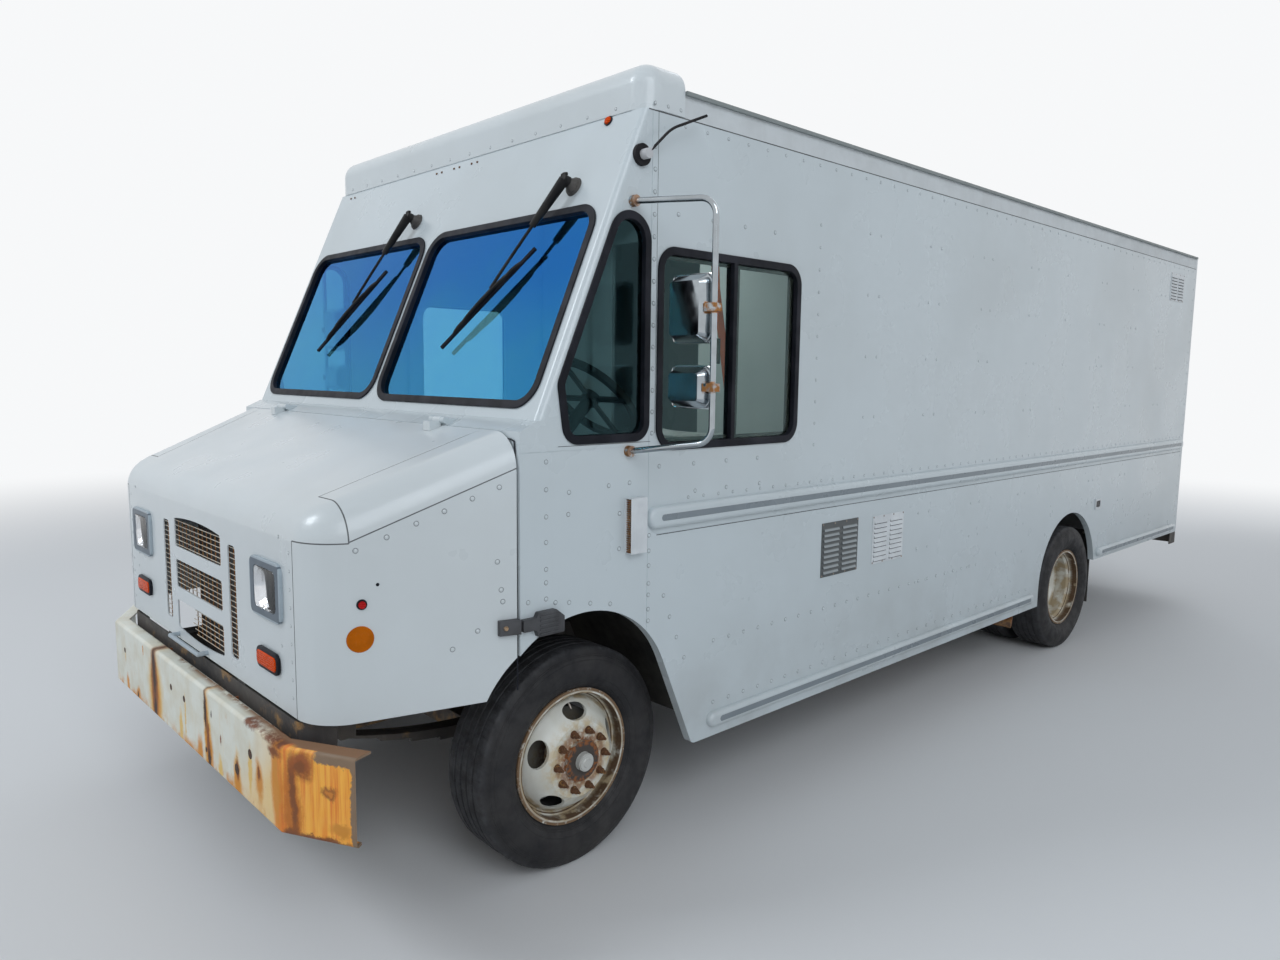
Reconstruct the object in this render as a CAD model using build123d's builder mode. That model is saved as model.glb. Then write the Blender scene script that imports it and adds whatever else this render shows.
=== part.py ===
from build123d import *
from math import cos, radians, sin, sqrt, tan
import os

# A walk-in delivery truck. The front faces -Y, its left side is +X, and the origin is on the
# ground under the middle of its length. All sizes are millimetres.

# Overall layout, counted from the front axle
wheelbase = 4290
bumper_ahead = 1055
body_behind = 6600
step_reach = 140
body_half = 1190
wall = 38
floor_z = 800
floor_thick = 30
skirt_z = 376
rear_skirt_z = 560
drip_z = 2870
seam_z = drip_z - 85
crown_z = drip_z + 60
roof_thick = 30
gap = 6
seat_gap = 0.3

axle_y = (bumper_ahead - body_behind - step_reach) / 2
rear_axle_y = axle_y + wheelbase
body_back_y = axle_y + body_behind
inner_half = body_half - wall

# Wheels and tyres
tyre_r = 422.5
tyre_w = 248
tread_w = 190
bead_r = 248
flange_r = 260
rim_w = 180
flange_thick = 8
well_r = 225
front_tyre_x = body_half - 241
dual_x = body_half - 132
dual_pitch = 279
hand_hole_count = 5
hand_hole_r = 25
hand_hole_circle_r = 178
hub_ring_r = 78
hub_cap_r = 34

# Steering
kingpin_x = front_tyre_x - 114
kingpin_r = 20
ear_gap = 6
boss_low_z = 345
boss_high_z = 500
track_arm = 150
track_pin_r = 9

# Windshield wall and cowl
cowl_y = axle_y - 347
screen_y = axle_y - 274
screen_z = 1700
screen_slope = 0.4324
cowl_z = 1666
post_depth = 30
body_corner_r = 25
cap_lap = 4
cap_top_z = drip_z + 88
cap_back_y = axle_y + 393
cap_skin = 6

# Hood
hood_gap = 6
hood_front_y = axle_y - 978
hood_half = body_half - 9
hood_taper = 15
hood_top_z = 1664
hood_fall = 21.5
hood_bottom_z = 779
hood_skin = 5
hood_corner_r = 160
hood_edge_r = 128
hinge_z = 1684
hinge_y = cowl_y - 5
hinge_r = 12
hinge_pin_r = 5
hinge_xs = (-700, 700)
hinge_inner = 22
hinge_outer = 50

# Wheel arches in the sides of the body
arch_y = axle_y - 70
arch_z = 590
arch_r = 430
arch_end_y = axle_y + 323
arch_end_z = 765
arch_foot_y = axle_y + 496
sill_corner_r = 30
rear_arch_y = rear_axle_y - 28
rear_arch_z = 480
rear_arch_r = 470

# Windows
quarter_low_z = 1613
quarter_back_y = axle_y + 230
quarter_top_r = 100
slider_y = axle_y + 695
slider_z = 1947
slider_w = 858
slider_h = 750
window_r = 88
pane_in = 14
pane_out = body_half - 52
pane_low = 36
pane_high = 817
pane_r = 105
seal_lap = 12
seal_w = 30
seal_proud = 8
glass_thick = 6

# Sliding side door on the right
door_front_y = axle_y + 570
door_back_y = axle_y + 1290
door_foot_z = 430
door_head_z = 2330
door_thick = 28
door_lap = 14
door_travel = 700
runner_gap = 0.5
bulkhead_y = axle_y + 1500
bulkhead_thick = 25

# Rear doors
rear_open_half = body_half - 100
rear_open_foot = 820
rear_open_head = seam_z - 85
rear_leaf = 36
frame_depth = 40
knuckle_r = 11

# Chassis
rail_x = 430
rail_web = 8
rail_flange = 70
rail_z = 520
rail_h = 250
spring_x = 480
spring_w = 76

os.makedirs("parts", exist_ok=True)


def save(piece, name):
    piece.label = name
    export_step(piece, f"parts/{name}.step")


def behind(station):
    """The Y of a place given as a distance behind the front axle."""
    return axle_y + station


def side(x):
    """A plane at X, drawn with Y across and Z up; it extrudes towards +X."""
    return Plane.YZ.offset(x)


def across(y):
    """A plane at Y, drawn with X across and Z up; it extrudes towards -Y."""
    return Plane.XZ.offset(-y)


def level(z):
    return Plane.XY.offset(z)


def block(xs, ys, zs, mode=Mode.ADD):
    """A square-edged piece of the open part, from its two ends along each axis."""
    middle = [(low + high) / 2 for low, high in (xs, ys, zs)]
    with Locations(tuple(middle)):
        Box(xs[1] - xs[0], ys[1] - ys[0], zs[1] - zs[0], mode=mode)


def bar_x(x_from, x_to, y, z, radius, mode=Mode.ADD):
    """A round bar of the open part along X."""
    with BuildSketch(side(x_from)) as end:
        with Locations((y, z)):
            Circle(radius)
    extrude(end.sketch, amount=x_to - x_from, mode=mode)


def post(x, y, z_from, z_to, radius, mode=Mode.ADD):
    """A round bar of the open part along Z."""
    with BuildSketch(level(z_from)) as foot:
        with Locations((x, y)):
            Circle(radius)
    extrude(foot.sketch, amount=z_to - z_from, mode=mode)


def screen_at(z):
    """The Y of the windshield wall's outer face at a height."""
    return screen_y + (z - screen_z) * screen_slope


lean = sqrt(1 + screen_slope**2)
screen = Plane(
    origin=(0, screen_y, screen_z),
    x_dir=(1, 0, 0),
    z_dir=(0, -1 / lean, screen_slope / lean),
)

# The arch shape is shared by the side walls, the hood and the wheelhouses.
with BuildSketch() as arch:
    with Locations((arch_y, arch_z)):
        Circle(arch_r)
    with BuildLine():
        Polyline(
            (arch_y - arch_r, skirt_z - 100),
            (arch_y - arch_r, arch_z),
            (arch_y, arch_z),
            (arch_end_y, arch_end_z),
            (arch_foot_y, skirt_z),
            (arch_foot_y, skirt_z - 100),
            close=True,
        )
    make_face()

with BuildSketch() as wall_face:
    with BuildLine():
        Polyline(
            (cowl_y, skirt_z),
            (cowl_y, cowl_z),
            (screen_y + post_depth, cowl_z),
            (screen_y + post_depth, screen_z),
            (screen_at(seam_z) + post_depth, seam_z),
            (body_back_y - frame_depth, seam_z),
            (body_back_y - frame_depth, rear_skirt_z),
            (rear_arch_y, rear_skirt_z),
            (rear_arch_y, skirt_z),
            close=True,
        )
    make_face()
    add(arch.sketch, mode=Mode.SUBTRACT)
    with Locations((rear_arch_y, rear_arch_z)):
        Circle(rear_arch_r, mode=Mode.SUBTRACT)
    with Locations((rear_arch_y, skirt_z)):
        Rectangle(2 * rear_arch_r, 2 * (rear_arch_z - skirt_z), mode=Mode.SUBTRACT)
    foot = wall_face.vertices().sort_by_distance((arch_foot_y, skirt_z, 0))[0]
    fillet(foot, sill_corner_r)

# Outlines of the rubber seals; the openings and the glass are set in from them.
with BuildSketch() as quarter_face:
    with BuildLine():
        Polyline(
            (quarter_back_y, quarter_low_z),
            (quarter_back_y, quarter_low_z + 1194),
            (behind(-196), quarter_low_z + 209),
            (behind(-165), quarter_low_z),
            close=True,
        )
    make_face()
    fillet(quarter_face.vertices().sort_by(Axis.Y)[-1], quarter_top_r)
    fillet(quarter_face.vertices().sort_by(Axis.X)[0], 70)
    fillet(quarter_face.vertices().group_by(Axis.Y)[0], 70)

with BuildSketch() as slider_face:
    with Locations((slider_y, slider_z)):
        RectangleRounded(slider_w, slider_h, window_r)

with BuildSketch() as screen_face:
    for turned in (-1, 1):
        middle = turned * (pane_in + pane_out) / 2
        with Locations((middle, (pane_low + pane_high) / 2)):
            RectangleRounded(pane_out - pane_in, pane_high - pane_low, pane_r)


def inset(face, distance):
    """A window outline drawn in from the edge of its seal."""
    return offset(face.sketch, amount=-distance)


quarter_hole = inset(quarter_face, seal_lap)
quarter_glass = inset(quarter_face, seal_w)
slider_hole = inset(slider_face, seal_lap)
slider_glass = inset(slider_face, seal_w)
screen_hole = inset(screen_face, seal_lap)
screen_glass = inset(screen_face, seal_w)

# Side walls
door_mid_y = (door_front_y + door_back_y) / 2
door_mid_z = (door_foot_z + door_head_z) / 2
door_half_y = (door_back_y - door_front_y) / 2
door_top_z = door_head_z + door_lap
door_out_x = -inner_half + gap
door_in_x = door_out_x + door_thick
track_front_y = door_front_y - door_lap - gap
track_back_y = door_back_y + door_lap + door_travel + gap

# Joints between the sheets of each side: one upright behind the cab corner, one under the
# quarter window and one along the foot of the upper sheet
sheet_seam_w = 3
sheet_seam_deep = 1.5
corner_seam_y = behind(233)
quarter_seam_z = quarter_low_z - 18
upper_sheet_z = 1260
upper_sheet_r = 60

with BuildSketch() as sheet_seams:
    with BuildLine():
        FilletPolyline(
            (corner_seam_y, seam_z),
            (corner_seam_y, upper_sheet_z),
            (body_back_y - frame_depth, upper_sheet_z),
            radius=upper_sheet_r,
        )
    trace(line_width=sheet_seam_w)
    with Locations(((cowl_y + corner_seam_y) / 2, quarter_seam_z)):
        Rectangle(corner_seam_y - cowl_y, sheet_seam_w)
    with Locations((corner_seam_y, (skirt_z + upper_sheet_z) / 2)):
        Rectangle(sheet_seam_w, upper_sheet_z - skirt_z)

with BuildPart() as left_wall:
    with BuildSketch(side(body_half)):
        add(wall_face.sketch)
        add(quarter_hole, mode=Mode.SUBTRACT)
        add(slider_hole, mode=Mode.SUBTRACT)
    extrude(amount=-wall)
    with BuildSketch(side(body_half)):
        add(sheet_seams.sketch)
    extrude(amount=-sheet_seam_deep, mode=Mode.SUBTRACT)
save(left_wall.part, "left_wall")

with BuildPart() as right_wall:
    with BuildSketch(side(-body_half)):
        add(wall_face.sketch)
        add(quarter_hole, mode=Mode.SUBTRACT)
        with Locations((door_mid_y, door_mid_z)):
            RectangleRounded(2 * door_half_y, door_head_z - door_foot_z, 60, mode=Mode.SUBTRACT)
    extrude(amount=wall)
    with BuildSketch(side(-body_half)):
        add(sheet_seams.sketch)
    extrude(amount=sheet_seam_deep, mode=Mode.SUBTRACT)
    # The door hangs in this track.
    track_z = door_top_z + runner_gap
    block((-inner_half, door_in_x + gap), (track_front_y, track_back_y), (track_z, track_z + 8))
    block((door_in_x + runner_gap, door_in_x + gap), (track_front_y, track_back_y), (track_z - 18, track_z))
save(right_wall.part, "right_wall")

# Windshield wall: a leaning plate; at the sides it is only as deep as the corner posts
with BuildPart() as front_wall:
    with BuildSketch(side(0)):
        with BuildLine():
            Polyline(
                (screen_y, screen_z),
                (screen_at(seam_z), seam_z),
                (screen_at(seam_z) + wall * lean, seam_z),
                (screen_y + wall * lean, screen_z),
                close=True,
            )
        make_face()
    extrude(amount=body_half, both=True)
    corner_edges = front_wall.edges().filter_by(lambda e: abs(abs(e.center().X) - body_half) < 1)
    long_edges = corner_edges.filter_by(lambda e: e.length > 1000)
    fillet(long_edges.group_by(Axis.Y)[0], body_corner_r)
    for turned in (-1, 1):
        with BuildSketch(side(turned * inner_half)):
            with BuildLine():
                back = post_depth + 50
                Polyline(
                    (screen_y + post_depth, screen_z),
                    (screen_at(seam_z) + post_depth, seam_z),
                    (screen_at(seam_z) + back, seam_z),
                    (screen_y + back, screen_z),
                    close=True,
                )
            make_face()
        extrude(amount=turned * wall, mode=Mode.SUBTRACT)
    with BuildSketch(screen):
        add(screen_hole)
    extrude(amount=-2 * wall, mode=Mode.SUBTRACT)
save(front_wall.part, "front_wall")

# Cowl strip at the foot of the windshield, with the firewall under it
wheelhouse_in = 540
wheelhouse_gap = 60
wheelhouse_skin = 12
cover_half = 330
cover_back_y = behind(420)
cover_top_z = 1180
firewall_thick = 25
firewall_low_z = 1030

with BuildPart() as cowl:
    with BuildSketch(side(0)):
        with BuildLine():
            Polyline(
                (cowl_y, cowl_z),
                (screen_y, screen_z),
                (screen_y + post_depth, screen_z),
                (screen_y + post_depth, cowl_z),
                close=True,
            )
        make_face()
    extrude(amount=body_half, both=True)
    block((-inner_half, inner_half), (cowl_y, cowl_y + firewall_thick), (firewall_low_z, cowl_z))
    block((-wheelhouse_in, wheelhouse_in), (cowl_y, cowl_y + firewall_thick), (floor_z, firewall_low_z))
    block(
        (-cover_half, cover_half),
        (cowl_y, cowl_y + firewall_thick),
        (floor_z, cover_top_z),
        mode=Mode.SUBTRACT,
    )
    # The hood turns on a pin held by two fixed knuckles at each hinge.
    for x in hinge_xs:
        bar_x(x - hinge_outer, x + hinge_outer, hinge_y, hinge_z, hinge_pin_r)
        for turned in (-1, 1):
            ends = sorted((x + turned * (hinge_inner + seat_gap), x + turned * hinge_outer))
            bar_x(ends[0], ends[1], hinge_y, hinge_z, hinge_r)
            block(ends, (cowl_y - 2, cowl_y + 40), (cowl_z - 6, hinge_z + 6))
save(cowl.part, "cowl")

# Wheelhouses over the steered wheels, wider than the arch so that the tyres can swing
arch_inside = offset(arch.sketch, amount=wheelhouse_gap)
arch_outside = offset(arch.sketch, amount=wheelhouse_gap + wheelhouse_skin)
with BuildPart() as wheelhouses:
    for turned in (-1, 1):
        with BuildSketch(side(turned * wheelhouse_in)):
            add(arch_outside)
            add(arch_inside, mode=Mode.SUBTRACT)
            with Locations((cowl_y - 500, arch_z)):
                Rectangle(1000, 2000, mode=Mode.SUBTRACT)
            with Locations((arch_y, skirt_z - 400)):
                Rectangle(2000, 1000, mode=Mode.SUBTRACT)
        extrude(amount=turned * (inner_half - wheelhouse_in))
        with BuildSketch(side(turned * wheelhouse_in)):
            add(arch_inside)
            with Locations((cowl_y - 500, arch_z)):
                Rectangle(1000, 2000, mode=Mode.SUBTRACT)
            with Locations((arch_y, floor_z - floor_thick - 1000)):
                Rectangle(2000, 2000, mode=Mode.SUBTRACT)
        extrude(amount=turned * wheelhouse_skin)
save(wheelhouses.part, "wheelhouses")

# Floor: one deck on side bearers, cut out for the boxes over the rear wheels and the step
deck_low_z = floor_z - floor_thick
deck_front_y = behind(402)
wheel_box_in = dual_x - dual_pitch - tyre_w / 2 - 19
wheel_box_half = 500
wheel_box_top = 985
box_skin = 10
bearer_h = 60
bearer_w = 50
step_in_x = -inner_half + 352
step_skin = 8
deck_right_x = door_in_x + gap
step_front_y = door_front_y + 4
step_back_y = door_back_y - 4

box_ys = (rear_arch_y - wheel_box_half, rear_arch_y + wheel_box_half)
box_sides = ((-inner_half, -wheel_box_in), (wheel_box_in, inner_half))
well_xs = (deck_right_x, step_in_x)
well_ys = (step_front_y, step_back_y)
deck_back_y = body_back_y - frame_depth
sill_deep = 3
fore_bearers = 4
aft_bearers = 3
fore_ys = (bulkhead_y + 200, box_ys[0] - 162)
aft_ys = (box_ys[1] + 288, body_back_y - 300)

with BuildPart() as floor:
    block((-inner_half, inner_half), (deck_front_y, deck_back_y), (deck_low_z, floor_z))
    block((-wheelhouse_in, wheelhouse_in), (cowl_y + firewall_thick, deck_front_y), (deck_low_z, floor_z))
    block((-cover_half, cover_half), (cowl_y, cover_back_y), (deck_low_z, floor_z), mode=Mode.SUBTRACT)
    for (first, last), count in ((fore_ys, fore_bearers), (aft_ys, aft_bearers)):
        for number in range(count):
            y = first + (last - first) * number / (count - 1)
            for xs in ((-inner_half, -rail_x - 1), (rail_x + 1, inner_half)):
                block(xs, (y, y + bearer_w), (deck_low_z - bearer_h, deck_low_z))
    open_zs = (deck_low_z - bearer_h, floor_z)
    block((-body_half, deck_right_x), (track_front_y, track_back_y), open_zs, mode=Mode.SUBTRACT)
    for xs in box_sides:
        block(xs, box_ys, open_zs, mode=Mode.SUBTRACT)
    block(well_xs, well_ys, open_zs, mode=Mode.SUBTRACT)
    # The bulkhead stands in a shallow sill across the deck.
    sill_ys = (bulkhead_y, bulkhead_y + bulkhead_thick)
    block((-inner_half, inner_half), sill_ys, (floor_z - sill_deep, floor_z), mode=Mode.SUBTRACT)
save(floor.part, "floor")

# Boxes over the rear wheels, let into the deck
with BuildPart() as wheel_boxes:
    for xs in box_sides:
        block(xs, box_ys, (deck_low_z, wheel_box_top))
    inner_ys = (box_ys[0] + box_skin, box_ys[1] - box_skin)
    for xs in ((-inner_half, -wheel_box_in - box_skin), (wheel_box_in + box_skin, inner_half)):
        block(xs, inner_ys, (deck_low_z, wheel_box_top - box_skin), mode=Mode.SUBTRACT)
save(wheel_boxes.part, "wheel_boxes")

# The step well hangs from the deck behind the side door.
with BuildPart() as step_well:
    block(well_xs, well_ys, (door_foot_z - step_skin, floor_z))
    block(
        (deck_right_x - 10, step_in_x - step_skin),
        (step_front_y + step_skin, step_back_y - step_skin),
        (door_foot_z, floor_z),
        mode=Mode.SUBTRACT,
    )
save(step_well.part, "step_well")

# Bulkhead behind the cab, with an open doorway; it stops short of the sliding door
doorway_xs = (-450, 250)
doorway_top_z = seam_z - 185
with BuildPart() as bulkhead:
    block((deck_right_x, inner_half), sill_ys, (floor_z - sill_deep, seam_z))
    block(doorway_xs, sill_ys, (floor_z - sill_deep, doorway_top_z), mode=Mode.SUBTRACT)
save(bulkhead.part, "bulkhead")

# Roof with a slight crown and a drip rail along each side
with BuildSketch() as roof_face:
    with BuildLine():
        Line((-body_half, drip_z), (-body_half, seam_z))
        Line((-body_half, seam_z), (body_half, seam_z))
        Line((body_half, seam_z), (body_half, drip_z))
        ThreePointArc((body_half, drip_z), (0, crown_z), (-body_half, drip_z))
    make_face()

with BuildSketch() as roof_hollow:
    with BuildLine():
        low = drip_z - roof_thick
        Line((-inner_half, low), (-inner_half, seam_z))
        Line((-inner_half, seam_z), (inner_half, seam_z))
        Line((inner_half, seam_z), (inner_half, low))
        ThreePointArc((inner_half, low), (0, crown_z - roof_thick), (-inner_half, low))
    make_face()

with BuildPart() as roof:
    roof_length = body_back_y - frame_depth - cap_back_y
    with BuildSketch(across(body_back_y - frame_depth)):
        add(roof_face.sketch)
        add(roof_hollow.sketch, mode=Mode.SUBTRACT)
        for turned in (-1, 1):
            with Locations((turned * (body_half + 5), drip_z)):
                Rectangle(18, 14)
    extrude(amount=roof_length)
save(roof.part, "roof")

# Moulded cap over the windshield, rounded at its front and corners
with BuildPart() as roof_cap:
    cap_front_y = screen_at(seam_z) - cap_lap
    block(
        (-body_half - cap_lap, body_half + cap_lap),
        (cap_front_y, cap_back_y),
        (seam_z, cap_top_z),
    )
    uprights = roof_cap.edges().filter_by(Axis.Z).group_by(Axis.Y)[0]
    fillet(uprights, 85)
    rim = roof_cap.faces().sort_by(Axis.Z)[-1].edges()
    fillet(rim.filter_by(lambda e: e.center().Y < cap_back_y - 1), 84)
    openings = roof_cap.faces().filter_by(Plane.XY).sort_by(Axis.Z)[:1]
    openings += roof_cap.faces().filter_by(Plane.XZ).sort_by(Axis.Y)[-1:]
    offset(amount=-cap_skin, openings=openings)
save(roof_cap.part, "roof_cap")

# Frame round the rear doors
knuckle_x = rear_open_half + gap + 2
knuckle_y = body_back_y + knuckle_r + 1
low_hinge_z = 1000
high_hinge_z = rear_open_head - 180
hinge_zs = (low_hinge_z, (low_hinge_z + high_hinge_z) / 2, high_hinge_z)
hinge_half = 30
hinge_reach = 50
hinge_plate = 8

with BuildPart() as rear_frame:
    with BuildSketch(across(body_back_y)):
        add(roof_face.sketch)
        with Locations((0, (rear_skirt_z + seam_z) / 2)):
            Rectangle(2 * body_half, seam_z - rear_skirt_z)
        with Locations((0, (rear_open_foot + rear_open_head) / 2)):
            Rectangle(2 * rear_open_half, rear_open_head - rear_open_foot, mode=Mode.SUBTRACT)
    extrude(amount=frame_depth)
    for turned in (-1, 1):
        for z in hinge_zs:
            near = hinge_half + seat_gap
            far = 2 * hinge_half
            for low, high in ((z - far, z - near), (z + near, z + far)):
                post(turned * knuckle_x, knuckle_y, low, high, knuckle_r)
                ends = sorted((turned * knuckle_x, turned * (knuckle_x + hinge_reach)))
                block(ends, (body_back_y, body_back_y + hinge_plate), (low, high))
save(rear_frame.part, "rear_frame")

# Rear doors, hinged at the outer edges
leaf_y = (body_back_y - rear_leaf + 2, body_back_y + 2)
rear_window_w = 420
rear_window_h = 520
rear_window_z = 1950
latch_x = 70
latch_bar_zs = (rear_open_foot + 30, rear_open_head - 30)
latch_handle_zs = (1230, 1262)
for turned, name in ((1, "left"), (-1, "right")):
    leaf_xs = sorted((turned * 4, turned * (rear_open_half - gap)))
    window_x = turned * rear_open_half / 2
    with BuildPart() as rear_door:
        block(leaf_xs, leaf_y, (rear_open_foot + gap, rear_open_head - gap))
        with BuildSketch(across(leaf_y[1])):
            with Locations((window_x, rear_window_z)):
                RectangleRounded(rear_window_w, rear_window_h, 60)
        extrude(amount=rear_leaf, mode=Mode.SUBTRACT)
        for z in hinge_zs:
            post(turned * knuckle_x, knuckle_y, z - hinge_half, z + hinge_half, knuckle_r)
            ends = sorted((turned * knuckle_x, turned * (knuckle_x - hinge_reach - 10)))
            block(ends, (leaf_y[1], leaf_y[1] + hinge_plate), (z - hinge_half, z + hinge_half))
        # The right leaf closes last and carries the latch bar and its handle.
        if turned < 0:
            block((-latch_x - 11, -latch_x + 11), (leaf_y[1], leaf_y[1] + 14), latch_bar_zs)
            block((-latch_x - 110, -latch_x + 11), (leaf_y[1] + 14, leaf_y[1] + 30), latch_handle_zs)
    save(rear_door.part, f"rear_door_{name}")
    with BuildPart() as rear_glass:
        with BuildSketch(across(leaf_y[1] - 15)):
            with Locations((window_x, rear_window_z)):
                RectangleRounded(rear_window_w, rear_window_h, 60)
        extrude(amount=glass_thick)
    save(rear_glass.part, f"rear_glass_{name}")

# Sliding side door with its window
side_window_w = 2 * door_half_y - 150
side_window_h = 800
side_window_z = 1830
pull_z = 1250
pull_deep = 18
with BuildPart() as side_door:
    block(
        (door_out_x, door_in_x),
        (door_front_y - door_lap, door_back_y + door_lap),
        (door_foot_z - door_lap, door_top_z),
    )
    with BuildSketch(side(door_out_x)):
        with Locations((door_mid_y, side_window_z)):
            RectangleRounded(side_window_w, side_window_h, 70)
    extrude(amount=door_thick, mode=Mode.SUBTRACT)
    # A pull cup is pressed into the outer face.
    with BuildSketch(side(door_out_x)):
        with Locations((door_front_y + 70, pull_z)):
            RectangleRounded(64, 150, 28)
    extrude(amount=pull_deep, mode=Mode.SUBTRACT)
save(side_door.part, "side_door")

with BuildPart() as side_door_glass:
    with BuildSketch(side(door_out_x + 10)):
        with Locations((door_mid_y, side_window_z)):
            RectangleRounded(side_window_w, side_window_h, 70)
    extrude(amount=glass_thick)
save(side_door_glass.part, "side_door_glass")

# Rubber seals: a lip on the outside and a body that lines the opening
with BuildPart() as window_seals:
    for turned in (-1, 1):
        for depth, hole in ((seal_proud, quarter_face.sketch), (-wall, quarter_hole)):
            with BuildSketch(side(turned * body_half)):
                add(hole)
                add(quarter_glass, mode=Mode.SUBTRACT)
            extrude(amount=turned * depth)
    for depth, hole in ((seal_proud, slider_face.sketch), (-wall, slider_hole)):
        with BuildSketch(side(body_half)):
            add(hole)
            add(slider_glass, mode=Mode.SUBTRACT)
            with Locations((slider_y, slider_z)):
                Rectangle(24, slider_h - 2 * seal_w)
        extrude(amount=depth)
    for depth, hole in ((seal_proud, screen_face.sketch), (-wall, screen_hole)):
        with BuildSketch(screen):
            add(hole)
            add(screen_glass, mode=Mode.SUBTRACT)
        extrude(amount=depth)
save(window_seals.part, "window_seals")

with BuildPart() as cab_glass:
    for turned in (-1, 1):
        with BuildSketch(side(turned * (body_half - 12))):
            add(quarter_glass)
        extrude(amount=-turned * glass_thick)
    with BuildSketch(side(body_half - 12)):
        add(slider_glass)
        with Locations((slider_y, slider_z)):
            Rectangle(24, slider_h, mode=Mode.SUBTRACT)
    extrude(amount=-glass_thick)
    with BuildSketch(screen.offset(-12)):
        add(screen_glass)
    extrude(amount=-glass_thick)
save(cab_glass.part, "cab_glass")

# Half-round rub rails along the sides: centre height, depth of the band, ends as stations
rail_proud = 26
rail_round = 20
strip_deep = 7
strip_w = 25
strip_end = 58
upper_rail_z = 1323
lower_rail_z = 450
tail_rail_z = 612
tail_front = wheelbase + 470
arch_front = wheelbase - 600
body_end = body_behind - 60

with BuildPart() as rub_rails:
    for turned, z, tall, front, back in (
        (1, upper_rail_z, 84, 225, body_end),
        (1, lower_rail_z, 64, 582, arch_front),
        (1, tail_rail_z, 64, tail_front, body_end - 40),
        (-1, upper_rail_z, 84, 1320, body_end),
        (-1, lower_rail_z, 64, 1320, arch_front),
        (-1, tail_rail_z, 64, tail_front, body_end - 40),
    ):
        centre = (behind((front + back) / 2), z)
        with BuildPart(mode=Mode.PRIVATE) as one_rail:
            with BuildSketch(side(turned * body_half)):
                with Locations(centre):
                    SlotOverall(back - front, tall)
            extrude(amount=turned * rail_proud)
            fillet(one_rail.faces().sort_by(Axis.X)[-1 if turned > 0 else 0].edges(), rail_round)
            # A channel along the middle takes the rubber strip.
            with BuildSketch(side(turned * (body_half + rail_proud))):
                with Locations(centre):
                    SlotOverall(back - front - 2 * strip_end, strip_w)
            extrude(amount=-turned * strip_deep, mode=Mode.SUBTRACT)
        add(one_rail.part)
save(rub_rails.part, "rub_rails")

# Vents on the left side, each with two columns of pressed louvres that open downwards:
# station, height, width, tallness, rows
vent_plate = 3
louvre_out = 9
blade_share = 0.62
scoop_zs = (1206, 1410)
scoop_ys = (behind(120), behind(200))
scoop_out = 34
scoop_skin = 3
filler_y = behind(wheelbase + 440)
filler_z = 970

with BuildPart() as side_vents:
    for station, z, w, h, rows in (
        (1492, 1058, 296, 254, 9),
        (1913, 1056, 288, 242, 9),
        (body_behind - 480, drip_z - 272, 324, 218, 8),
    ):
        y = behind(station)
        block((body_half, body_half + vent_plate), (y - w / 2, y + w / 2), (z - h / 2, z + h / 2))
        pitch = (h - 30) / rows
        blade = pitch * blade_share
        for column in (-1, 1):
            centre_y = y + column * w / 4
            for row in range(rows):
                low = z - h / 2 + 15 + row * pitch
                with BuildSketch(across(centre_y + 0.2 * w)) as blade_end:
                    with BuildLine():
                        Polyline(
                            (body_half + vent_plate, low + blade),
                            (body_half + vent_plate, low + 2),
                            (body_half + louvre_out, low),
                            (body_half + louvre_out, low + 2),
                            close=True,
                        )
                    make_face()
                extrude(blade_end.sketch, amount=0.4 * w)
    # A small scoop open to the front, and the box round the fuel filler behind the rear wheel
    block((body_half, body_half + scoop_out), scoop_ys, scoop_zs)
    block(
        (body_half + scoop_skin, body_half + scoop_out - scoop_skin),
        (scoop_ys[0], scoop_ys[1] - scoop_skin),
        (scoop_zs[0] + scoop_skin, scoop_zs[1] - scoop_skin),
        mode=Mode.SUBTRACT,
    )
    with BuildSketch(side(body_half)):
        with Locations((filler_y, filler_z)):
            RectangleRounded(110, 76, 14)
            RectangleRounded(78, 46, 8, mode=Mode.SUBTRACT)
    extrude(amount=8)
save(side_vents.part, "side_vents")

# Mirrors on tube loops; each head is a shell with a sloped back and is clamped to the tube
mirror_x = body_half + 310
mirror_y = 232
mirror_tube_r = 11
mirror_w = 190
mirror_in = 115
mirror_heads = ((2083, 235), (1813, 146))
rim_deep = 14
back_deep = 44
back_taper = 30
with BuildPart() as mirrors:
    for turned in (-1, 1):
        with BuildLine() as loop:
            FilletPolyline(
                (turned * (body_half + 10), behind(140), 2456),
                (turned * mirror_x, behind(mirror_y), 2442),
                (turned * mirror_x, behind(mirror_y), 1625),
                (turned * (body_half + 10), behind(130), 1580),
                radius=60,
            )
        with BuildSketch(Plane(origin=loop.line @ 0, z_dir=loop.line % 0)):
            Circle(mirror_tube_r)
        sweep(path=loop.line)
        for z, tall in mirror_heads:
            for plane_y, deep, taper in (
                (behind(mirror_y + 30), rim_deep, 0),
                (behind(mirror_y + 30) - rim_deep, back_deep, back_taper),
            ):
                with BuildSketch(across(plane_y)):
                    with Locations((turned * (mirror_x - mirror_in), z)):
                        RectangleRounded(mirror_w, tall, 36)
                extrude(amount=deep, taper=taper)
            clamp = sorted((turned * (mirror_x - 34), turned * (mirror_x + 16)))
            block(clamp, (behind(mirror_y) - 16, behind(mirror_y) + 20), (z - 14, z + 14))
        for y, z in ((140, 2456), (130, 1580)):
            bar_x(turned * body_half, turned * (body_half + 22), behind(y), z, 20)
save(mirrors.part, "mirrors")

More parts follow.
